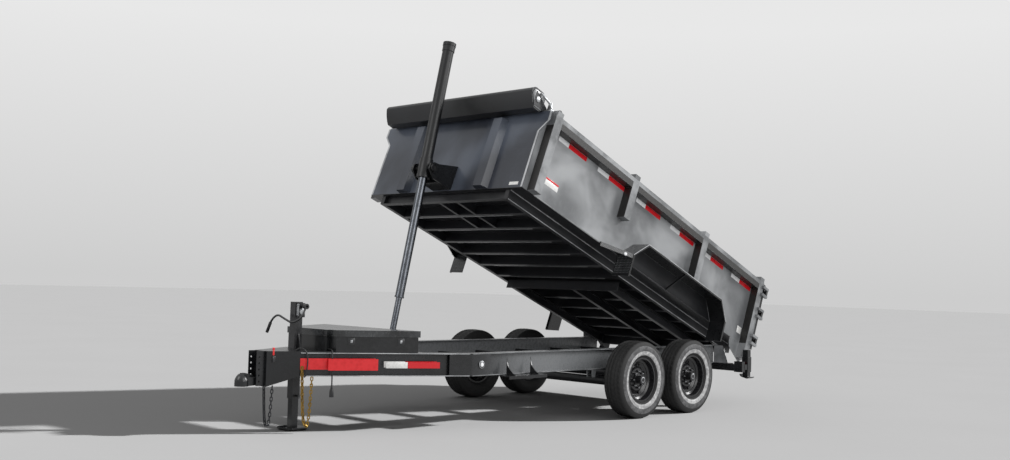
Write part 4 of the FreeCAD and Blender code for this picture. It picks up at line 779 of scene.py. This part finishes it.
@dataclass
class Cladding:
    """The finish of every CAD node that stays in view."""

    finishes: Finishes
    nodes: dict[str, bpy.types.Object]

    def table(self) -> dict[str, bpy.types.Material]:
        """Finish of each node by the start of its name.

        Returns:
            Materials by name prefix; the longest that fits counts.
        """
        f = self.finishes
        return {
            "frame_beam": f.beam_black, "tongue_nose": f.frame_black, "ball_coupler": f.frame_black,
            "jack_housing": f.jack_grey, "jack_leg": f.frame_black, "toolbox_lid": f.lid_paint,
            "toolbox": f.box_black, "power_unit": f.black_plastic, "cross_members": f.frame_black,
            "side_steps": f.frame_black, "tail_frame": f.frame_black, "stabilizer": f.frame_black,
            "cylinder_base": f.frame_black, "axles": f.under_black, "leaf_springs": f.under_black,
            "tyre": f.tyre, "rim": f.wheel_black, "safety_chain_gold": f.gold_zinc,
            "safety_chain_dark": f.dark_chain, "trailer_cord": f.jacket, "frame_lamps": f.lamp_red,
            "bed_frame": f.under_black, "lift_frame": f.under_black, "bed_floor": f.under_black,
            "side_wall": f.wall_black, "front_wall": f.front_black, "cylinder_bracket": f.frame_black,
            "tarp_housing": f.tarp_cover, "fender": f.frame_black, "door": f.frame_black,
            "cylinder_barrel": f.cylinder_black, "cylinder_sleeve": f.stage_chrome,
            "cylinder_stage": f.stage_chrome,
        }

    def dress(self) -> None:
        """Give each node its finish."""
        table = self.table()
        for name, thing in self.nodes.items():
            match = max((key for key in table if name.startswith(key)), key=len)
            thing.data.materials.clear()
            thing.data.materials.append(table[match])
            LOG.info("%s finished as %s", name, table[match].name)


@dataclass
class Tyre:
    """Trailer tyre with cut tread, rib edges and a pale sidewall band."""

    radius: float = 0.390
    rim_radius: float = 0.2123
    bead_half: float = 0.079
    steps_round: int = 176
    groove_depth: float = 0.007
    lug_count: int = 44
    # across the tread: where the blocks of the middle end and the shoulder's start
    shoulder: float = 0.0600
    # how far the cuts between blocks lean, in blocks for each metre across
    lean_middle: float = 9.0
    lean_shoulder: float = 22.0
    smooth_deg: float = 32.0

    def profile(self) -> list[tuple[float, float, bool]]:
        """Section from one bead over the tread to the other.

        Returns:
            Across, radius and whether the point is tread, for each ring of points.
        """
        side = [
            (self.bead_half, self.rim_radius + 0.001), (self.bead_half + 0.0045, self.rim_radius + 0.0135),
            (self.bead_half + 0.013, self.rim_radius + 0.017), (0.1055, 0.248), (0.1110, 0.2555),
            (0.1136, 0.2665), (0.1132, 0.2745), (0.1165, 0.2900), (0.1175, 0.3120), (0.1163, 0.3330),
            (0.1140, 0.3420), (0.1120, 0.3475), (0.1095, 0.3600), (0.1035, 0.3730), (0.0965, 0.3815),
        ]
        tread = [0.0885, 0.0740, 0.0680, 0.0610, 0.0380, 0.0300, 0.0230, 0.0080]
        rings = [(a, r, False) for a, r in side]
        rings += [(a, self.crown(a), True) for a in tread]
        return rings + [(-a, r, t) for a, r, t in reversed(rings)]

    def crown(self, across: float) -> float:
        """Radius of the tread's crown at a distance from the middle line."""
        return self.radius - 0.0052 * (across / 0.0935) ** 2

    def depth(self, across: float, step: int) -> float:
        """How far the tread is cut in at a point.

        Args:
            across: Distance from the middle line.
            step: Number of the point round the tyre.

        Returns:
            The depth of the cut, 0 on a block.
        """
        size = abs(across)
        if self.shoulder < size < 0.0700 or 0.0225 < size < 0.0310:
            return self.groove_depth
        share = step * self.lug_count / self.steps_round
        in_middle = size < self.shoulder
        lean = across * self.lean_middle if in_middle else (size - self.shoulder) * self.lean_shoulder
        phase = (share + lean) % 1.0
        return self.groove_depth * 0.75 if phase < 0.26 else 0.0

    def build(self, name: str, centre: Point, facing: int, body: str, node: str, finishes: Finishes) -> None:
        """Make one tyre and hide the plain one.

        Args:
            name: The piece's name.
            centre: Middle of the wheel in the frame's axes.
            facing: 1 for the left side, -1 for the right.
            body: The wheel's body.
            node: The CAD node that it stands for.
            finishes: The trailer's finishes.
        """
        rings = self.profile()
        points, faces, bands = [], [], []
        for step in range(self.steps_round):
            turn = 2 * math.pi * step / self.steps_round
            for across, radius, is_tread in rings:
                size = radius - (self.depth(across, step) if is_tread else 0.0)
                points.append((centre[0] + size * math.cos(turn), centre[1] + facing * across,
                               centre[2] + size * math.sin(turn)))
        count = len(rings)
        for step in range(self.steps_round):
            after = (step + 1) % self.steps_round
            for k in range(count):
                j = (k + 1) % count
                faces.append((step * count + k, step * count + j, after * count + j, after * count + k))
                bands.append(1 if 3 <= k <= 6 else 2 if 7 <= k <= 9 else 0)
        mesh = bpy.data.meshes.new(name)
        mesh.from_pydata(points, [], faces)
        for finish in (finishes.tyre, finishes.tyre_band, finishes.tyre_side):
            mesh.materials.append(finish)
        mesh.polygons.foreach_set("material_index", bands)
        work = bmesh.new()
        work.from_mesh(mesh)
        bmesh.ops.recalc_face_normals(work, faces=work.faces)
        work.to_mesh(mesh)
        work.free()
        thing = in_scene(name, mesh)
        shade(thing, self.smooth_deg)
        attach(thing, body)
        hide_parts(node)
        LOG.info("%s stands for %s", name, node)


@dataclass
class Wheels:
    """Tyres, hub trim and lug nuts of the four wheels."""

    finishes: Finishes
    axle_spacing: float = 0.890
    wheel_y: float = 1.1725
    hub_z: float = 0.390
    hub_out: float = 0.100
    lug_circle: float = 0.0825
    lug_out: float = 0.048
    lug_count: int = 8

    def build(self) -> None:
        """Dress every wheel."""
        tyre = Tyre()
        for end, x in (("front", self.axle_spacing / 2), ("rear", -self.axle_spacing / 2)):
            for side in Side:
                body = f"wheel_{end}_{side.word}"
                centre = chassis((x, side.value * self.wheel_y, self.hub_z))
                tyre.build(f"tread_{end}_{side.word}", tuple(centre), side.value, body,
                           f"tyre_{end}_{side.word}", self.finishes)
                self.hub(f"{end}_{side.word}", Vector((0, side.value, 0)), centre, body)

    def hub(self, word: str, out: Vector, centre: Vector, body: str) -> None:
        """Bright ring, cap and lug tips on one hub.

        Args:
            word: End and side, as the pieces' names have them.
            out: Direction away from the trailer.
            centre: Middle of the wheel.
            body: The wheel's body.
        """
        f = self.finishes
        face = centre + out * self.hub_out
        fitting(f"hub_ring_{word}", Vector, body, f.zinc,
                rods=[(face, face + out * 0.004, 0.030, 32)], bevel=0.001)
        fitting(f"hub_cap_{word}", Vector, body, f.wheel_black,
                rods=[(face + out * 0.004, face + out * 0.009, 0.020, 24, 0.016)], bevel=0.001)
        spots = ring(centre + out * self.lug_out, Vector((1, 0, 0)), Vector((0, 0, 1)),
                     self.lug_circle, self.lug_count)
        fitting(f"lug_tips_{word}", Vector, body, f.zinc,
                rods=[(spot, spot + out * 0.012, 0.0105, 12, 0.006) for spot in spots])


@dataclass
class BedWalls:
    """Tape, plates, painted highlights and painted shade, and stake pocket plugs of the bed's sides and front."""

    finishes: Finishes
    tape_v: float = 0.763
    tape_h: float = 0.046
    tape_t: float = 0.0006
    post_w: float = 0.104
    rail_foot: float = 0.852
    floor_v: float = 0.104
    # front face and foot of each post
    posts: tuple[tuple[float, float], ...] = (
        (3.832, 0.105), (2.511, 0.455), (1.116, 0.314), (-0.165, -0.075))
    # front end of each white length, where red starts, rear end of red
    tapes: tuple[tuple[float, float, float], ...] = (
        (3.623, 3.464, 3.171), (2.978, 2.789, 2.486), (2.285, 2.113, 1.825),
        (1.622, 1.436, 1.144), (0.941, 0.772, 0.491), (0.299, 0.112, -0.150))

    def build(self) -> None:
        """Make every piece."""
        f = self.finishes
        fitting("front_plate", bed, "bed", f.plate_white,
                [((FRONT_U, 0.905, 0.128), (FRONT_U + FILM, 1.020, 0.160))])
        low, high = self.tape_v - self.tape_h / 2, self.tape_v + self.tape_h / 2
        for side in Side:
            for word, finish, start, end in (("white", f.tape_white, 0, 1), ("red", f.tape_red, 1, 2)):
                fitting(f"tape_{word}_{side.word}", side.place(bed), "bed", finish, [
                    ((tape[end], WALL_Y, low), (tape[start], WALL_Y + self.tape_t, high))
                    for tape in self.tapes])
            self.faces(side)
            self.plates(side)
            self.corner(side)

    def corner(self, side: Side) -> None:
        """Painted highlight along the front sheet's edge at one corner.

        Args:
            side: The trailer's side.
        """
        strip = Piece(f"corner_strip_{side.word}", side.place(bed))
        width = 0.022
        line = [(WALL_Y, 0.105), (WALL_Y, 0.690), (POST_Y, 0.795), (POST_Y, 0.895)]
        for (y0, v0), (y1, v1) in zip(line, line[1:]):
            outline = [(y0 - width, v0), (y0, v0), (y1, v1), (y1 - width, v1)]
            strip.prism([(FRONT_U, y, v) for y, v in outline], (FILM, 0, 0))
        strip.finish("bed", self.finishes.edge_bright, "black_paint")

    def faces(self, side: Side) -> None:
        """Painted highlights on posts, top rail and floor edge, painted shade on the rail's flank, posts' fronts and
        fender well, and the plugs.

        Args:
            side: The trailer's side.
        """
        f = self.finishes
        place = side.place(bed)
        # painted highlights: pale films on the outer faces of posts and top rail and along the floor's edge
        worn = [((front - self.post_w + 0.002, POST_Y, foot + 0.002),
                 (front - 0.002, POST_Y + FILM, self.rail_foot)) for front, foot in self.posts]
        worn.append(((-0.267, POST_Y, 0.8525), (3.830, POST_Y + FILM, 0.8955)))
        worn.append(((-0.10, WALL_Y, self.floor_v), (3.726, WALL_Y + FILM, 0.110)))
        fitting(f"post_faces_{side.word}", place, "bed", f.edge_grey, worn)
        # painted shade: dark films on the rail's lower outer face, its underside and the posts' front faces
        flank = []
        for rear, front in ((-0.163, 1.010), (1.118, 2.405), (2.513, 3.726)):
            flank.append(((rear, POST_Y, 0.7905), (front, POST_Y + FILM, self.rail_foot)))
            flank.append(((rear, WALL_Y + 0.002, 0.7881), (front, POST_Y - 0.001, 0.7889)))
        for front, foot in self.posts:
            flank.append(((front, WALL_Y + 0.002, max(foot, self.floor_v)),
                          (front + FILM, POST_Y - 0.001, 0.787)))
        fitting(f"rail_flank_{side.word}", place, "bed", f.shade_black, flank)
        # painted shadow: a dark sheet on the side sheet inside the fender, where the fender shades it
        well = Piece(f"fender_well_{side.word}", place)
        outline = ((0.506, 0.104), (2.338, 0.104), (2.136, 0.306), (0.678, 0.306))
        well.prism([(u, WALL_Y, v) for u, v in outline], (0, FILM, 0))
        well.finish("bed", f.under_black, "black_paint")
        middles = [front - self.post_w / 2 for front, _ in self.posts]
        fitting(f"pocket_plugs_{side.word}", place, "bed", f.shade_black, [
            ((u - 0.036, WALL_Y + 0.020, 0.898), (u + 0.036, POST_Y - 0.008, 0.935)) for u in middles],
            bevel=0.002)

    def plates(self, side: Side) -> None:
        """Blank plates on the side sheet.

        Args:
            side: The trailer's side.
        """
        place = side.place(bed)
        out = WALL_Y + 0.0012
        fitting(f"blank_plates_{side.word}", place, "bed", self.finishes.plate_white, [
            ((3.440, WALL_Y, 0.268), (3.640, out, 0.322)), ((-0.150, WALL_Y, 0.200), (-0.060, out, 0.280))],
            bevel=0.0004)
        fitting(f"plate_heading_{side.word}", place, "bed", self.finishes.red_band,
                [((3.440, WALL_Y, 0.324), (3.640, out, 0.342))], bevel=0.0004)


@dataclass
class Fenders:
    """Tread plate bosses and marker lamps on the fender steps, and a painted highlight along the lip."""

    finishes: Finishes
    tip: Point = (2.660, 1.102, 0.113)
    outer: Point = (2.355, FENDER_Y, 0.113)
    lamp_along: float = 0.278
    lip: float = 0.006

    def build(self) -> None:
        """Make the bosses, lamps and edges of both sides."""
        start = Vector(self.tip)
        along = (Vector(self.outer) - start).normalized()
        out = Vector((along.y, -along.x, 0.0))
        down, ahead = Vector((0, 0, -1)), Vector((1, 0, 0))
        slant = [(start + along * (0.012 + 0.0165 * step + 0.008 * (row % 2)) + down * (0.005 + 0.011 * row),
                  out) for row in range(4) for step in range(21)]
        front = [(Vector((2.345, 1.094 + 0.018 * step + 0.009 * (row % 2), 0.095 - 0.018 * row)), ahead)
                 for row in range(11) for step in range(11)]
        for side in Side:
            place = side.place(bed)
            # the bosses take the pale highlight grey: a painted glint on each
            for name, radius, spots in (
                    ("step_edge_bosses", 0.0036, slant), ("step_front_bosses", 0.0040, front)):
                Repeat(f"{name}_{side.word}", radius=radius, height=0.0016, washer=0.6).make(
                    [(place(spot), place(spot + way) - place(spot)) for spot, way in spots],
                    "bed", self.finishes.edge_grey)
            self.lamp(side, start + along * self.lamp_along + down * 0.030, out)
            self.edge(side)

    def edge(self, side: Side) -> None:
        """Painted highlight on the fender's lip, a strip just inside its outline.

        Args:
            side: The trailer's side.
        """
        edge = Piece(f"lip_edge_{side.word}", side.place(bed))
        corners = ((2.345, 0.113), (2.145, 0.313), (0.670, 0.313), (0.498, 0.113))
        outline = [Vector((u, FENDER_Y, v)) for u, v in corners]
        for first, last in zip(outline, outline[1:]):
            run = (last - first).normalized()
            inward = Vector((run.z, 0, -run.x)) * self.lip
            if inward.z > 0:
                inward = -inward
            edge.prism([tuple(first), tuple(last), tuple(last + inward), tuple(first + inward)], (0, FILM, 0))
        edge.finish("bed", self.finishes.edge_bright, "black_paint")

    def lamp(self, side: Side, spot: Vector, out: Vector) -> None:
        """Round marker lamp in its ring.

        Args:
            side: The trailer's side.
            spot: Its middle on the step's edge.
            out: Direction that it faces.
        """
        place = side.place(bed)
        fitting(f"marker_ring_{side.word}", place, "bed", self.finishes.zinc,
                rods=[(spot, spot + out * 0.006, 0.018, 24)], bevel=0.001)
        fitting(f"marker_lens_{side.word}", place, "bed", self.finishes.lamp_clear,
                rods=[(spot + out * 0.006, spot + out * 0.011, 0.0145, 24, 0.010)], bevel=0.001,
                slot="lamp_red")


@dataclass
class Tongue:
    """Band, plates and tape on the tongue beams, with the small fittings round the jack."""

    finishes: Finishes
    angle_deg: float = 27.0
    corner: Point = (2.530, RAIL_Y, 0.0)
    # both flanges of the rail and tongue beams, lowest and highest point of their edges
    flanges: tuple[tuple[float, float], ...] = ((0.6772, 0.6848), (0.4822, 0.4898))
    marker_x: float = 2.4125
    marker_z: float = 0.5835

    def place(self, point: Sequence[float]) -> Vector:
        """Place a point given along the left beam, out from its face, and up.

        Args:
            point: Along, out and up, in metres.

        Returns:
            The point in the frame's axes.
        """
        turn = math.radians(self.angle_deg)
        return chassis((
            self.corner[0] + point[0] * math.cos(turn) + point[1] * math.sin(turn),
            self.corner[1] - point[0] * math.sin(turn) + point[1] * math.cos(turn),
            point[2],
        ))

    def build(self) -> None:
        """Make every piece."""
        f = self.finishes
        web = -0.047
        for side in Side:
            word, place, rail = side.word, side.place(self.place), side.place(chassis)
            fitting(f"plain_band_{word}", place, "frame", f.red_band, [
                ((0.869, web, 0.536), (1.303, web + FILM, 0.634)),
                ((1.308, 0.0, 0.540), (1.535, FILM, 0.636))])
            fitting(f"beam_plate_{word}", place, "frame", f.plate_white,
                    [((0.606, web, 0.556), (0.797, web + 0.0012, 0.610))], bevel=0.0003)
            fitting(f"beam_tape_{word}", place, "frame", f.tape_red,
                    [((0.313, web, 0.556), (0.603, web + FILM, 0.610))])
            # painted highlights: pale films along the flanges' edges of the tongue beams and the rails
            fitting(f"flange_edges_{word}", place, "frame", f.edge_bright,
                    [((0.02, 0.0, low), (1.53, FILM, high)) for low, high in self.flanges])
            fitting(f"rail_edges_{word}", rail, "frame", f.edge_grey,
                    [((-1.40, RAIL_Y, low), (2.52, RAIL_Y + FILM, high)) for low, high in self.flanges])
            self.marker(word, rail)
            # painted highlight: a pale film with a slanted edge on the rail's rear end, a lit patch
            wing = Piece(f"wing_face_{word}", rail)
            outline = ((0.918, 0.486), (1.094, 0.486), (1.033, 0.682), (0.918, 0.682))
            wing.prism([(-1.400, y, z) for y, z in outline], (FILM, 0, 0))
            wing.finish("frame", f.edge_grey, "black_paint")
        self.switch()
        self.conduit()
        self.pin()
        self.gear()
        self.latches()

    def marker(self, word: str, rail: Place) -> None:
        """Collar, gasket and lens of the marker lamp at the rail's front corner.

        Args:
            word: The trailer's side.
            rail: How points on that side are placed.
        """
        f = self.finishes
        # name, finish, slot, inner and outer face, radius, flats, outer radius, rounding
        for name, finish, slot, low, high, radius, flats, end, bevel in (
                ("marker_collar", f.zinc, "lamp_red", 0.9154, 0.9256, 0.0345, 28, None, 0.001),
                ("marker_gasket", f.black_plastic, "black_paint", 0.9256, 0.9262, 0.0285, 28, None, 0.0),
                ("rail_marker", f.lamp_clear, "lamp_red", 0.9262, 0.9322, 0.021, 24, 0.016, 0.001)):
            first, last = (self.marker_x, low, self.marker_z), (self.marker_x, high, self.marker_z)
            fitting(f"{name}_{word}", rail, "frame", finish, rods=[(first, last, radius, flats, end)],
                    bevel=bevel, slot=slot)

    def gear(self) -> None:
        """Bright gear cover on the jack's case, and the grip on its crank."""
        cover = Piece("jack_gear_cover")
        cover.rod((3.800, 0.084, 1.030), (3.800, 0.090, 1.030), 0.030, 28)
        cover.block((3.830, 0.044, 0.990), (3.8325, 0.080, 1.094))
        for z in (1.000, 1.084):
            cover.bolt((3.8325, 0.062, z), (1, 0, 0), 0.007, 0.006)
        cover.finish("frame", self.finishes.zinc, "jack_paint", 0.001)
        fitting("crank_grip", chassis, "frame", self.finishes.jacket,
                rods=[((3.9165, -0.214, 0.9227), (3.918, -0.263, 0.8342), 0.0135, 18)], bevel=0.002,
                slot="cord_jacket")

    def latches(self) -> None:
        """Latches with their hasps on the toolbox's left face."""
        spots = (0.66, 1.10)
        fitting("toolbox_latches", self.place, "frame", self.finishes.black_plastic, [
            ((along - 0.032, -0.0055, 0.752), (along + 0.032, -0.0015, 0.812)) for along in spots],
            bevel=0.001)
        fitting("toolbox_hasps", self.place, "frame", self.finishes.zinc, [
            ((along - 0.010, -0.0015, 0.770), (along + 0.010, 0.0035, 0.796)) for along in spots],
            bevel=0.001)

    def switch(self) -> None:
        """Breakaway switch on the nose with its red pull pin."""
        x, y = 4.099, 0.113
        fitting("breakaway_switch", chassis, "frame", self.finishes.black_plastic,
                [((4.085, 0.100, 0.600), (4.113, 0.126, 0.652))],
                [((x, y, 0.652), (x, y, 0.660), 0.009, 16)], 0.002)
        fitting("breakaway_pin", chassis, "frame", self.finishes.red_plastic,
                [((4.091, 0.105, 0.706), (4.107, 0.121, 0.726))],
                [((x, y, 0.660), (x, y, 0.706), 0.009, 16, 0.007)], 0.002)

    def conduit(self) -> None:
        """Wiring loom that comes out of the nose and goes down behind the beam."""
        loom = Piece("wiring_loom")
        loom.pipe([(3.935, 0.195, 0.700), (3.915, 0.225, 0.722), (3.885, 0.243, 0.716), (3.861, 0.256, 0.680),
                   (3.853, 0.262, 0.631), (3.856, 0.262, 0.560), (3.866, 0.256, 0.492),
                   (3.872, 0.246, 0.476)], 0.006)
        loom.finish("frame", self.finishes.jacket, "cord_jacket")

    def pin(self) -> None:
        """Ring handle of the jack's pull pin, open at one place."""
        handle = Piece("jack_pin_ring")
        route = ring(Vector((3.800, 0.092, 0.298)), Vector((0, 1, 0)), Vector((0, 0, 1)), 0.017, 16)
        handle.pipe(route[:-1], 0.0028, 8)
        handle.finish("frame", self.finishes.zinc, "jack_paint")


@dataclass
class Underside:
    """Weld dots under the floor, in the highlight grey, and painted highlight lines on sills and side rails."""

    finishes: Finishes
    sill_pitch: float = 0.312
    front: float = 3.880
    last: float = -0.10
    floor_v: float = 0.097

    def build(self) -> None:
        """Make the dots and lines."""
        dots, lines = [], []
        station = self.front - self.sill_pitch
        while station > self.last:
            lines.append(((station - 0.046, -0.68, -FILM), (station - 0.038, 0.68, 0.0)))
            for y in (-0.80, -0.52, -0.20, 0.20, 0.52, 0.80):
                spot = Vector((station + self.sill_pitch / 2, y, self.floor_v))
                dots.append((bed(spot), bed(spot + Vector((0, 0, -1))) - bed(spot)))
            station -= self.sill_pitch
        # painted highlights: pale lines on the sills' flange lips
        fitting("sill_lines", bed, "bed", self.finishes.edge_bright, lines)
        Repeat("plug_welds", radius=0.007, height=0.002, sides=10, washer=1.2).make(
            dots, "bed", self.finishes.edge_grey)
        # painted highlights along the side rails' flange edges
        for side in Side:
            fitting(f"side_rail_lines_{side.word}", side.place(bed), "bed", self.finishes.edge_bright, [
                ((-0.20, RAIL_Y, low), (3.87, RAIL_Y + FILM, high))
                for low, high in ((0.0005, 0.0065), (0.0885, 0.0965))])


@dataclass
class TarpEnds:
    """Arms, hooks and end plates of the rolled tarp."""

    finishes: Finishes
    plate_y: float = 1.0505
    plate_t: float = 0.0045

    def build(self) -> None:
        """Make both ends."""
        f = self.finishes
        for side in Side:
            place = side.place(bed)
            plate = Piece(f"tarp_end_{side.word}", place)
            outline = ((3.935, 0.885), (4.035, 0.885), (4.098, 1.000),
                       (4.085, 1.045), (3.965, 1.050), (3.925, 1.010))
            plate.prism([(u, self.plate_y, v) for u, v in outline], (0, self.plate_t, 0))
            plate.finish("bed", f.edge_grey, "tarp_cover", 0.001)
            outside = self.plate_y + self.plate_t
            fitting(f"tarp_hub_{side.word}", place, "bed", f.zinc,
                    rods=[((4.012, outside, 0.965), (4.012, outside + 0.009, 0.965), 0.026, 24)],
                    bevel=0.001, slot="tarp_cover")
            bend = (3.890, 1.100, 0.985)
            fitting(f"tarp_arm_{side.word}", place, "bed", f.zinc,
                    [((3.862, 1.062, 0.8985), (3.902, 1.150, 0.914)),
                     ((3.866, 1.066, 0.9140), (3.874, 1.110, 1.000))],
                    [((4.000, 1.066, 1.040), bend, 0.011, 14), (bend, (3.850, 1.120, 0.925), 0.011, 14)],
                    0.001, "tarp_cover")
            hook = Piece(f"tarp_hook_{side.word}", place)
            bends = ((3.800, 0.900), (3.800, 0.945), (3.770, 0.962), (3.745, 0.940))
            hook.pipe([(u, 1.150, v) for u, v in bends], 0.008)
            hook.finish("bed", f.black_plastic, "black_paint")


@dataclass
class Studio:
    """Floor, backdrop, light and camera."""

    focal_px: float = 1097.67
    image_width: int = 1010
    sensor_mm: float = 36.0
    eye: Point = (9.5051, 7.9428, 1.3191)
    yaw_deg: float = -136.295
    pitch_deg: float = 2.807
    roll_deg: float = 1.652
    floor_half: float = 90.0
    floor_sun: float = 15.5
    day_sun: float = 1.6
    sun_travel: Point = (0.80, -0.52, -0.42)
    floor: bpy.types.Object | None = None

    def camera(self) -> None:
        """Place the camera where the photograph was taken from."""
        data = bpy.data.cameras.new("camera")
        data.sensor_width = self.sensor_mm
        data.lens = self.focal_px * self.sensor_mm / self.image_width
        data.clip_end = 400.0
        thing = in_scene("camera", data)
        yaw, pitch, roll = (math.radians(a) for a in (self.yaw_deg, self.pitch_deg, self.roll_deg))
        ahead = Vector((math.cos(yaw) * math.cos(pitch), math.sin(yaw) * math.cos(pitch), math.sin(pitch)))
        right = Vector((math.sin(yaw), -math.cos(yaw), 0))
        up = right.cross(ahead)
        right_rolled = right * math.cos(roll) + up * math.sin(roll)
        up_rolled = -right * math.sin(roll) + up * math.cos(roll)
        axes = Matrix((right_rolled, up_rolled, -ahead)).transposed()
        thing.matrix_world = Matrix.Translation(chassis(self.eye)) @ axes.to_4x4()
        bpy.context.scene.camera = thing

    def ground(self) -> None:
        """Make the floor, which the camera sees as an even pale grey with the trailer's shadow."""
        mesh = bpy.data.meshes.new("floor")
        size = self.floor_half
        mesh.from_pydata([(-size, -size, 0), (size, -size, 0), (size, size, 0), (-size, size, 0)], [],
                         [(0, 1, 2, 3)])
        self.floor = in_scene("floor", mesh)
        finish = Finish("studio_floor")
        fine = finish.noise(finish.where, 0.6, Detail=2.0)
        mesh.materials.append(finish.surface({
            "Base Color": finish.blend(fine, "#7b7b7b", "#7e7e7e"), "Roughness": 0.9,
            "Specular IOR Level": 0.0}))

    def only_floor(self, lamp: bpy.types.Object, state: str) -> None:
        """Let a lamp light the floor alone, or everything but the floor.

        Args:
            lamp: The lamp.
            state: INCLUDE for the floor alone, EXCLUDE for all else.
        """
        group = bpy.data.collections.new(f"{lamp.name}_floor")
        group.objects.link(self.floor)
        lamp.light_linking.receiver_collection = group
        group.collection_objects[0].light_linking.link_state = state

    def backdrop(self) -> None:
        """World that lights the trailer as a soft sky and that the camera sees as a pale backdrop."""
        world = bpy.data.worlds.new("studio")
        bpy.context.scene.world = world
        world.use_nodes = True
        tree = world.node_tree
        tree.nodes.clear()
        rays = add_node(tree, "ShaderNodeLightPath").outputs
        source = add_node(tree, "ShaderNodeTexCoord").outputs["Generated"]
        up = add_node(tree, "ShaderNodeSeparateXYZ", inputs={0: source}).outputs["Z"]
        height = add_node(tree, "ShaderNodeMapRange", inputs={0: up, 1: 0.0, 2: 0.225, 3: 0.0, 4: 1.0})
        seen = add_node(tree, "ShaderNodeMix", {"data_type": "RGBA"}, {
            0: height.outputs[0], 6: linear("#cdcdcd"), 7: linear("#e8e8e8")})
        sky = add_node(tree, "ShaderNodeMapRange", inputs={0: up, 1: -0.2, 2: 1.0, 3: 0.35, 4: 0.95})
        either = add_node(tree, "ShaderNodeMath", {"operation": "MAXIMUM"}, {
            0: rays["Is Camera Ray"], 1: rays["Is Transmission Ray"]})
        lit = add_node(tree, "ShaderNodeBackground", inputs={
            "Color": linear("#ffffff"), "Strength": sky.outputs[0]})
        shown = add_node(tree, "ShaderNodeBackground", inputs={"Color": seen.outputs[2], "Strength": 1.0})
        mixed = add_node(tree, "ShaderNodeMixShader", inputs={
            0: either.outputs[0], 1: lit.outputs[0], 2: shown.outputs[0]})
        add_node(tree, "ShaderNodeOutputWorld", inputs={"Surface": mixed.outputs[0]})

    def sun(self, name: str, energy: float, width_deg: float, state: str) -> None:
        """Add a low sun from the picture's right.

        Args:
            name: The lamp's name.
            energy: Its strength.
            width_deg: Its width in the sky, which softens its shadow.
            state: INCLUDE to light the floor alone, EXCLUDE for all else.
        """
        data = bpy.data.lights.new(name, "SUN")
        data.energy = energy
        data.angle = math.radians(width_deg)
        thing = in_scene(name, data)
        thing.rotation_euler = Vector(self.sun_travel).to_track_quat("-Z", "Y").to_euler()
        self.only_floor(thing, state)

    def softbox(self, name: str, spot: Point, target: Point, size: float, power: float) -> None:
        """Add a soft area lamp.

        Args:
            name: The lamp's name.
            spot: Where it hangs.
            target: Where it points.
            size: Its side in metres.
            power: Its power in watts.
        """
        data = bpy.data.lights.new(name, "AREA")
        data.shape = "SQUARE"
        data.size = size
        data.energy = power
        thing = in_scene(name, data)
        thing.location = spot
        thing.rotation_euler = (Vector(target) - Vector(spot)).to_track_quat("-Z", "Y").to_euler()
        self.only_floor(thing, "EXCLUDE")

    def build(self) -> None:
        """Make the whole studio."""
        bpy.context.scene.view_settings.view_transform = "Standard"
        self.camera()
        self.ground()
        self.backdrop()
        self.sun("sun", self.floor_sun, 2.0, "INCLUDE")
        self.sun("day", self.day_sun, 20.0, "EXCLUDE")
        self.softbox("front_softbox", (9.0, -1.0, 5.5), (1.5, 0.0, 1.6), 4.0, 150.0)
        self.softbox("side_softbox", (0.5, 9.0, 4.5), (-0.5, 0.5, 1.2), 6.0, 300.0)


@dataclass
class TrailerCord:
    """Seven-way cord that hangs beside the toolbox with its plug."""

    finishes: Finishes
    radius: float = 0.006
    # the route's points, as the CAD has them
    route: tuple[Point, ...] = (
        (3.643, 0.262, 0.712), (3.643, 0.310, 0.712), (3.660, 0.345, 0.704), (3.668, 0.358, 0.664),
        (3.668, 0.362, 0.606), (3.667, 0.363, 0.548), (3.667, 0.364, 0.490), (3.668, 0.365, 0.432),
        (3.668, 0.366, 0.400))

    def build(self) -> None:
        """Make the cord as one smooth line, and its plug."""
        curve = bpy.data.curves.new("trailer_lead", "CURVE")
        curve.dimensions = "3D"
        curve.bevel_depth = self.radius
        curve.bevel_resolution = 4
        curve.use_fill_caps = True
        curve.resolution_u = 8
        spline = curve.splines.new("NURBS")
        spline.points.add(len(self.route) - 1)
        placed = [chassis(p) for p in self.route]
        for point, spot in zip(spline.points, placed):
            point.co = (spot.x, spot.y, spot.z, 1.0)
        spline.order_u = 3
        spline.use_endpoint_u = True
        curve.materials.append(self.finishes.jacket)
        thing = in_scene("trailer_lead", curve)
        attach(thing, "frame")
        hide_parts("trailer_cord")
        plug = Piece("lead_plug")
        x, y, z = self.route[-1]
        plug.rod((x, y, z + 0.002), (x, y, z - 0.026), 0.0085, 20, 0.011)
        plug.rod((x, y, z - 0.026), (x, y, z - 0.052), 0.0165, 24, 0.019)
        plug.rod((x, y, z - 0.052), (x, y, z - 0.092), 0.019, 24)
        plug.block((x - 0.007, y + 0.014, z - 0.090), (x + 0.007, y + 0.0225, z - 0.040))
        body = plug.finish("frame", self.finishes.black_plastic, "cord_jacket", 0.001)


def main() -> None:
    """Load the frame, dress it and report each piece."""
    logging.basicConfig(level=logging.INFO, format="%(name)s: %(message)s")
    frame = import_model()
    finishes = Finishes()
    Cladding(finishes, frame["nodes"]).dress()
    Studio().build()
    Wheels(finishes).build()
    BedWalls(finishes).build()
    Fenders(finishes).build()
    Underside(finishes).build()
    TarpEnds(finishes).build()
    Tongue(finishes).build()
    TrailerCord(finishes).build()
    bpy.context.view_layer.update()


if __name__ == "__main__":
    main()
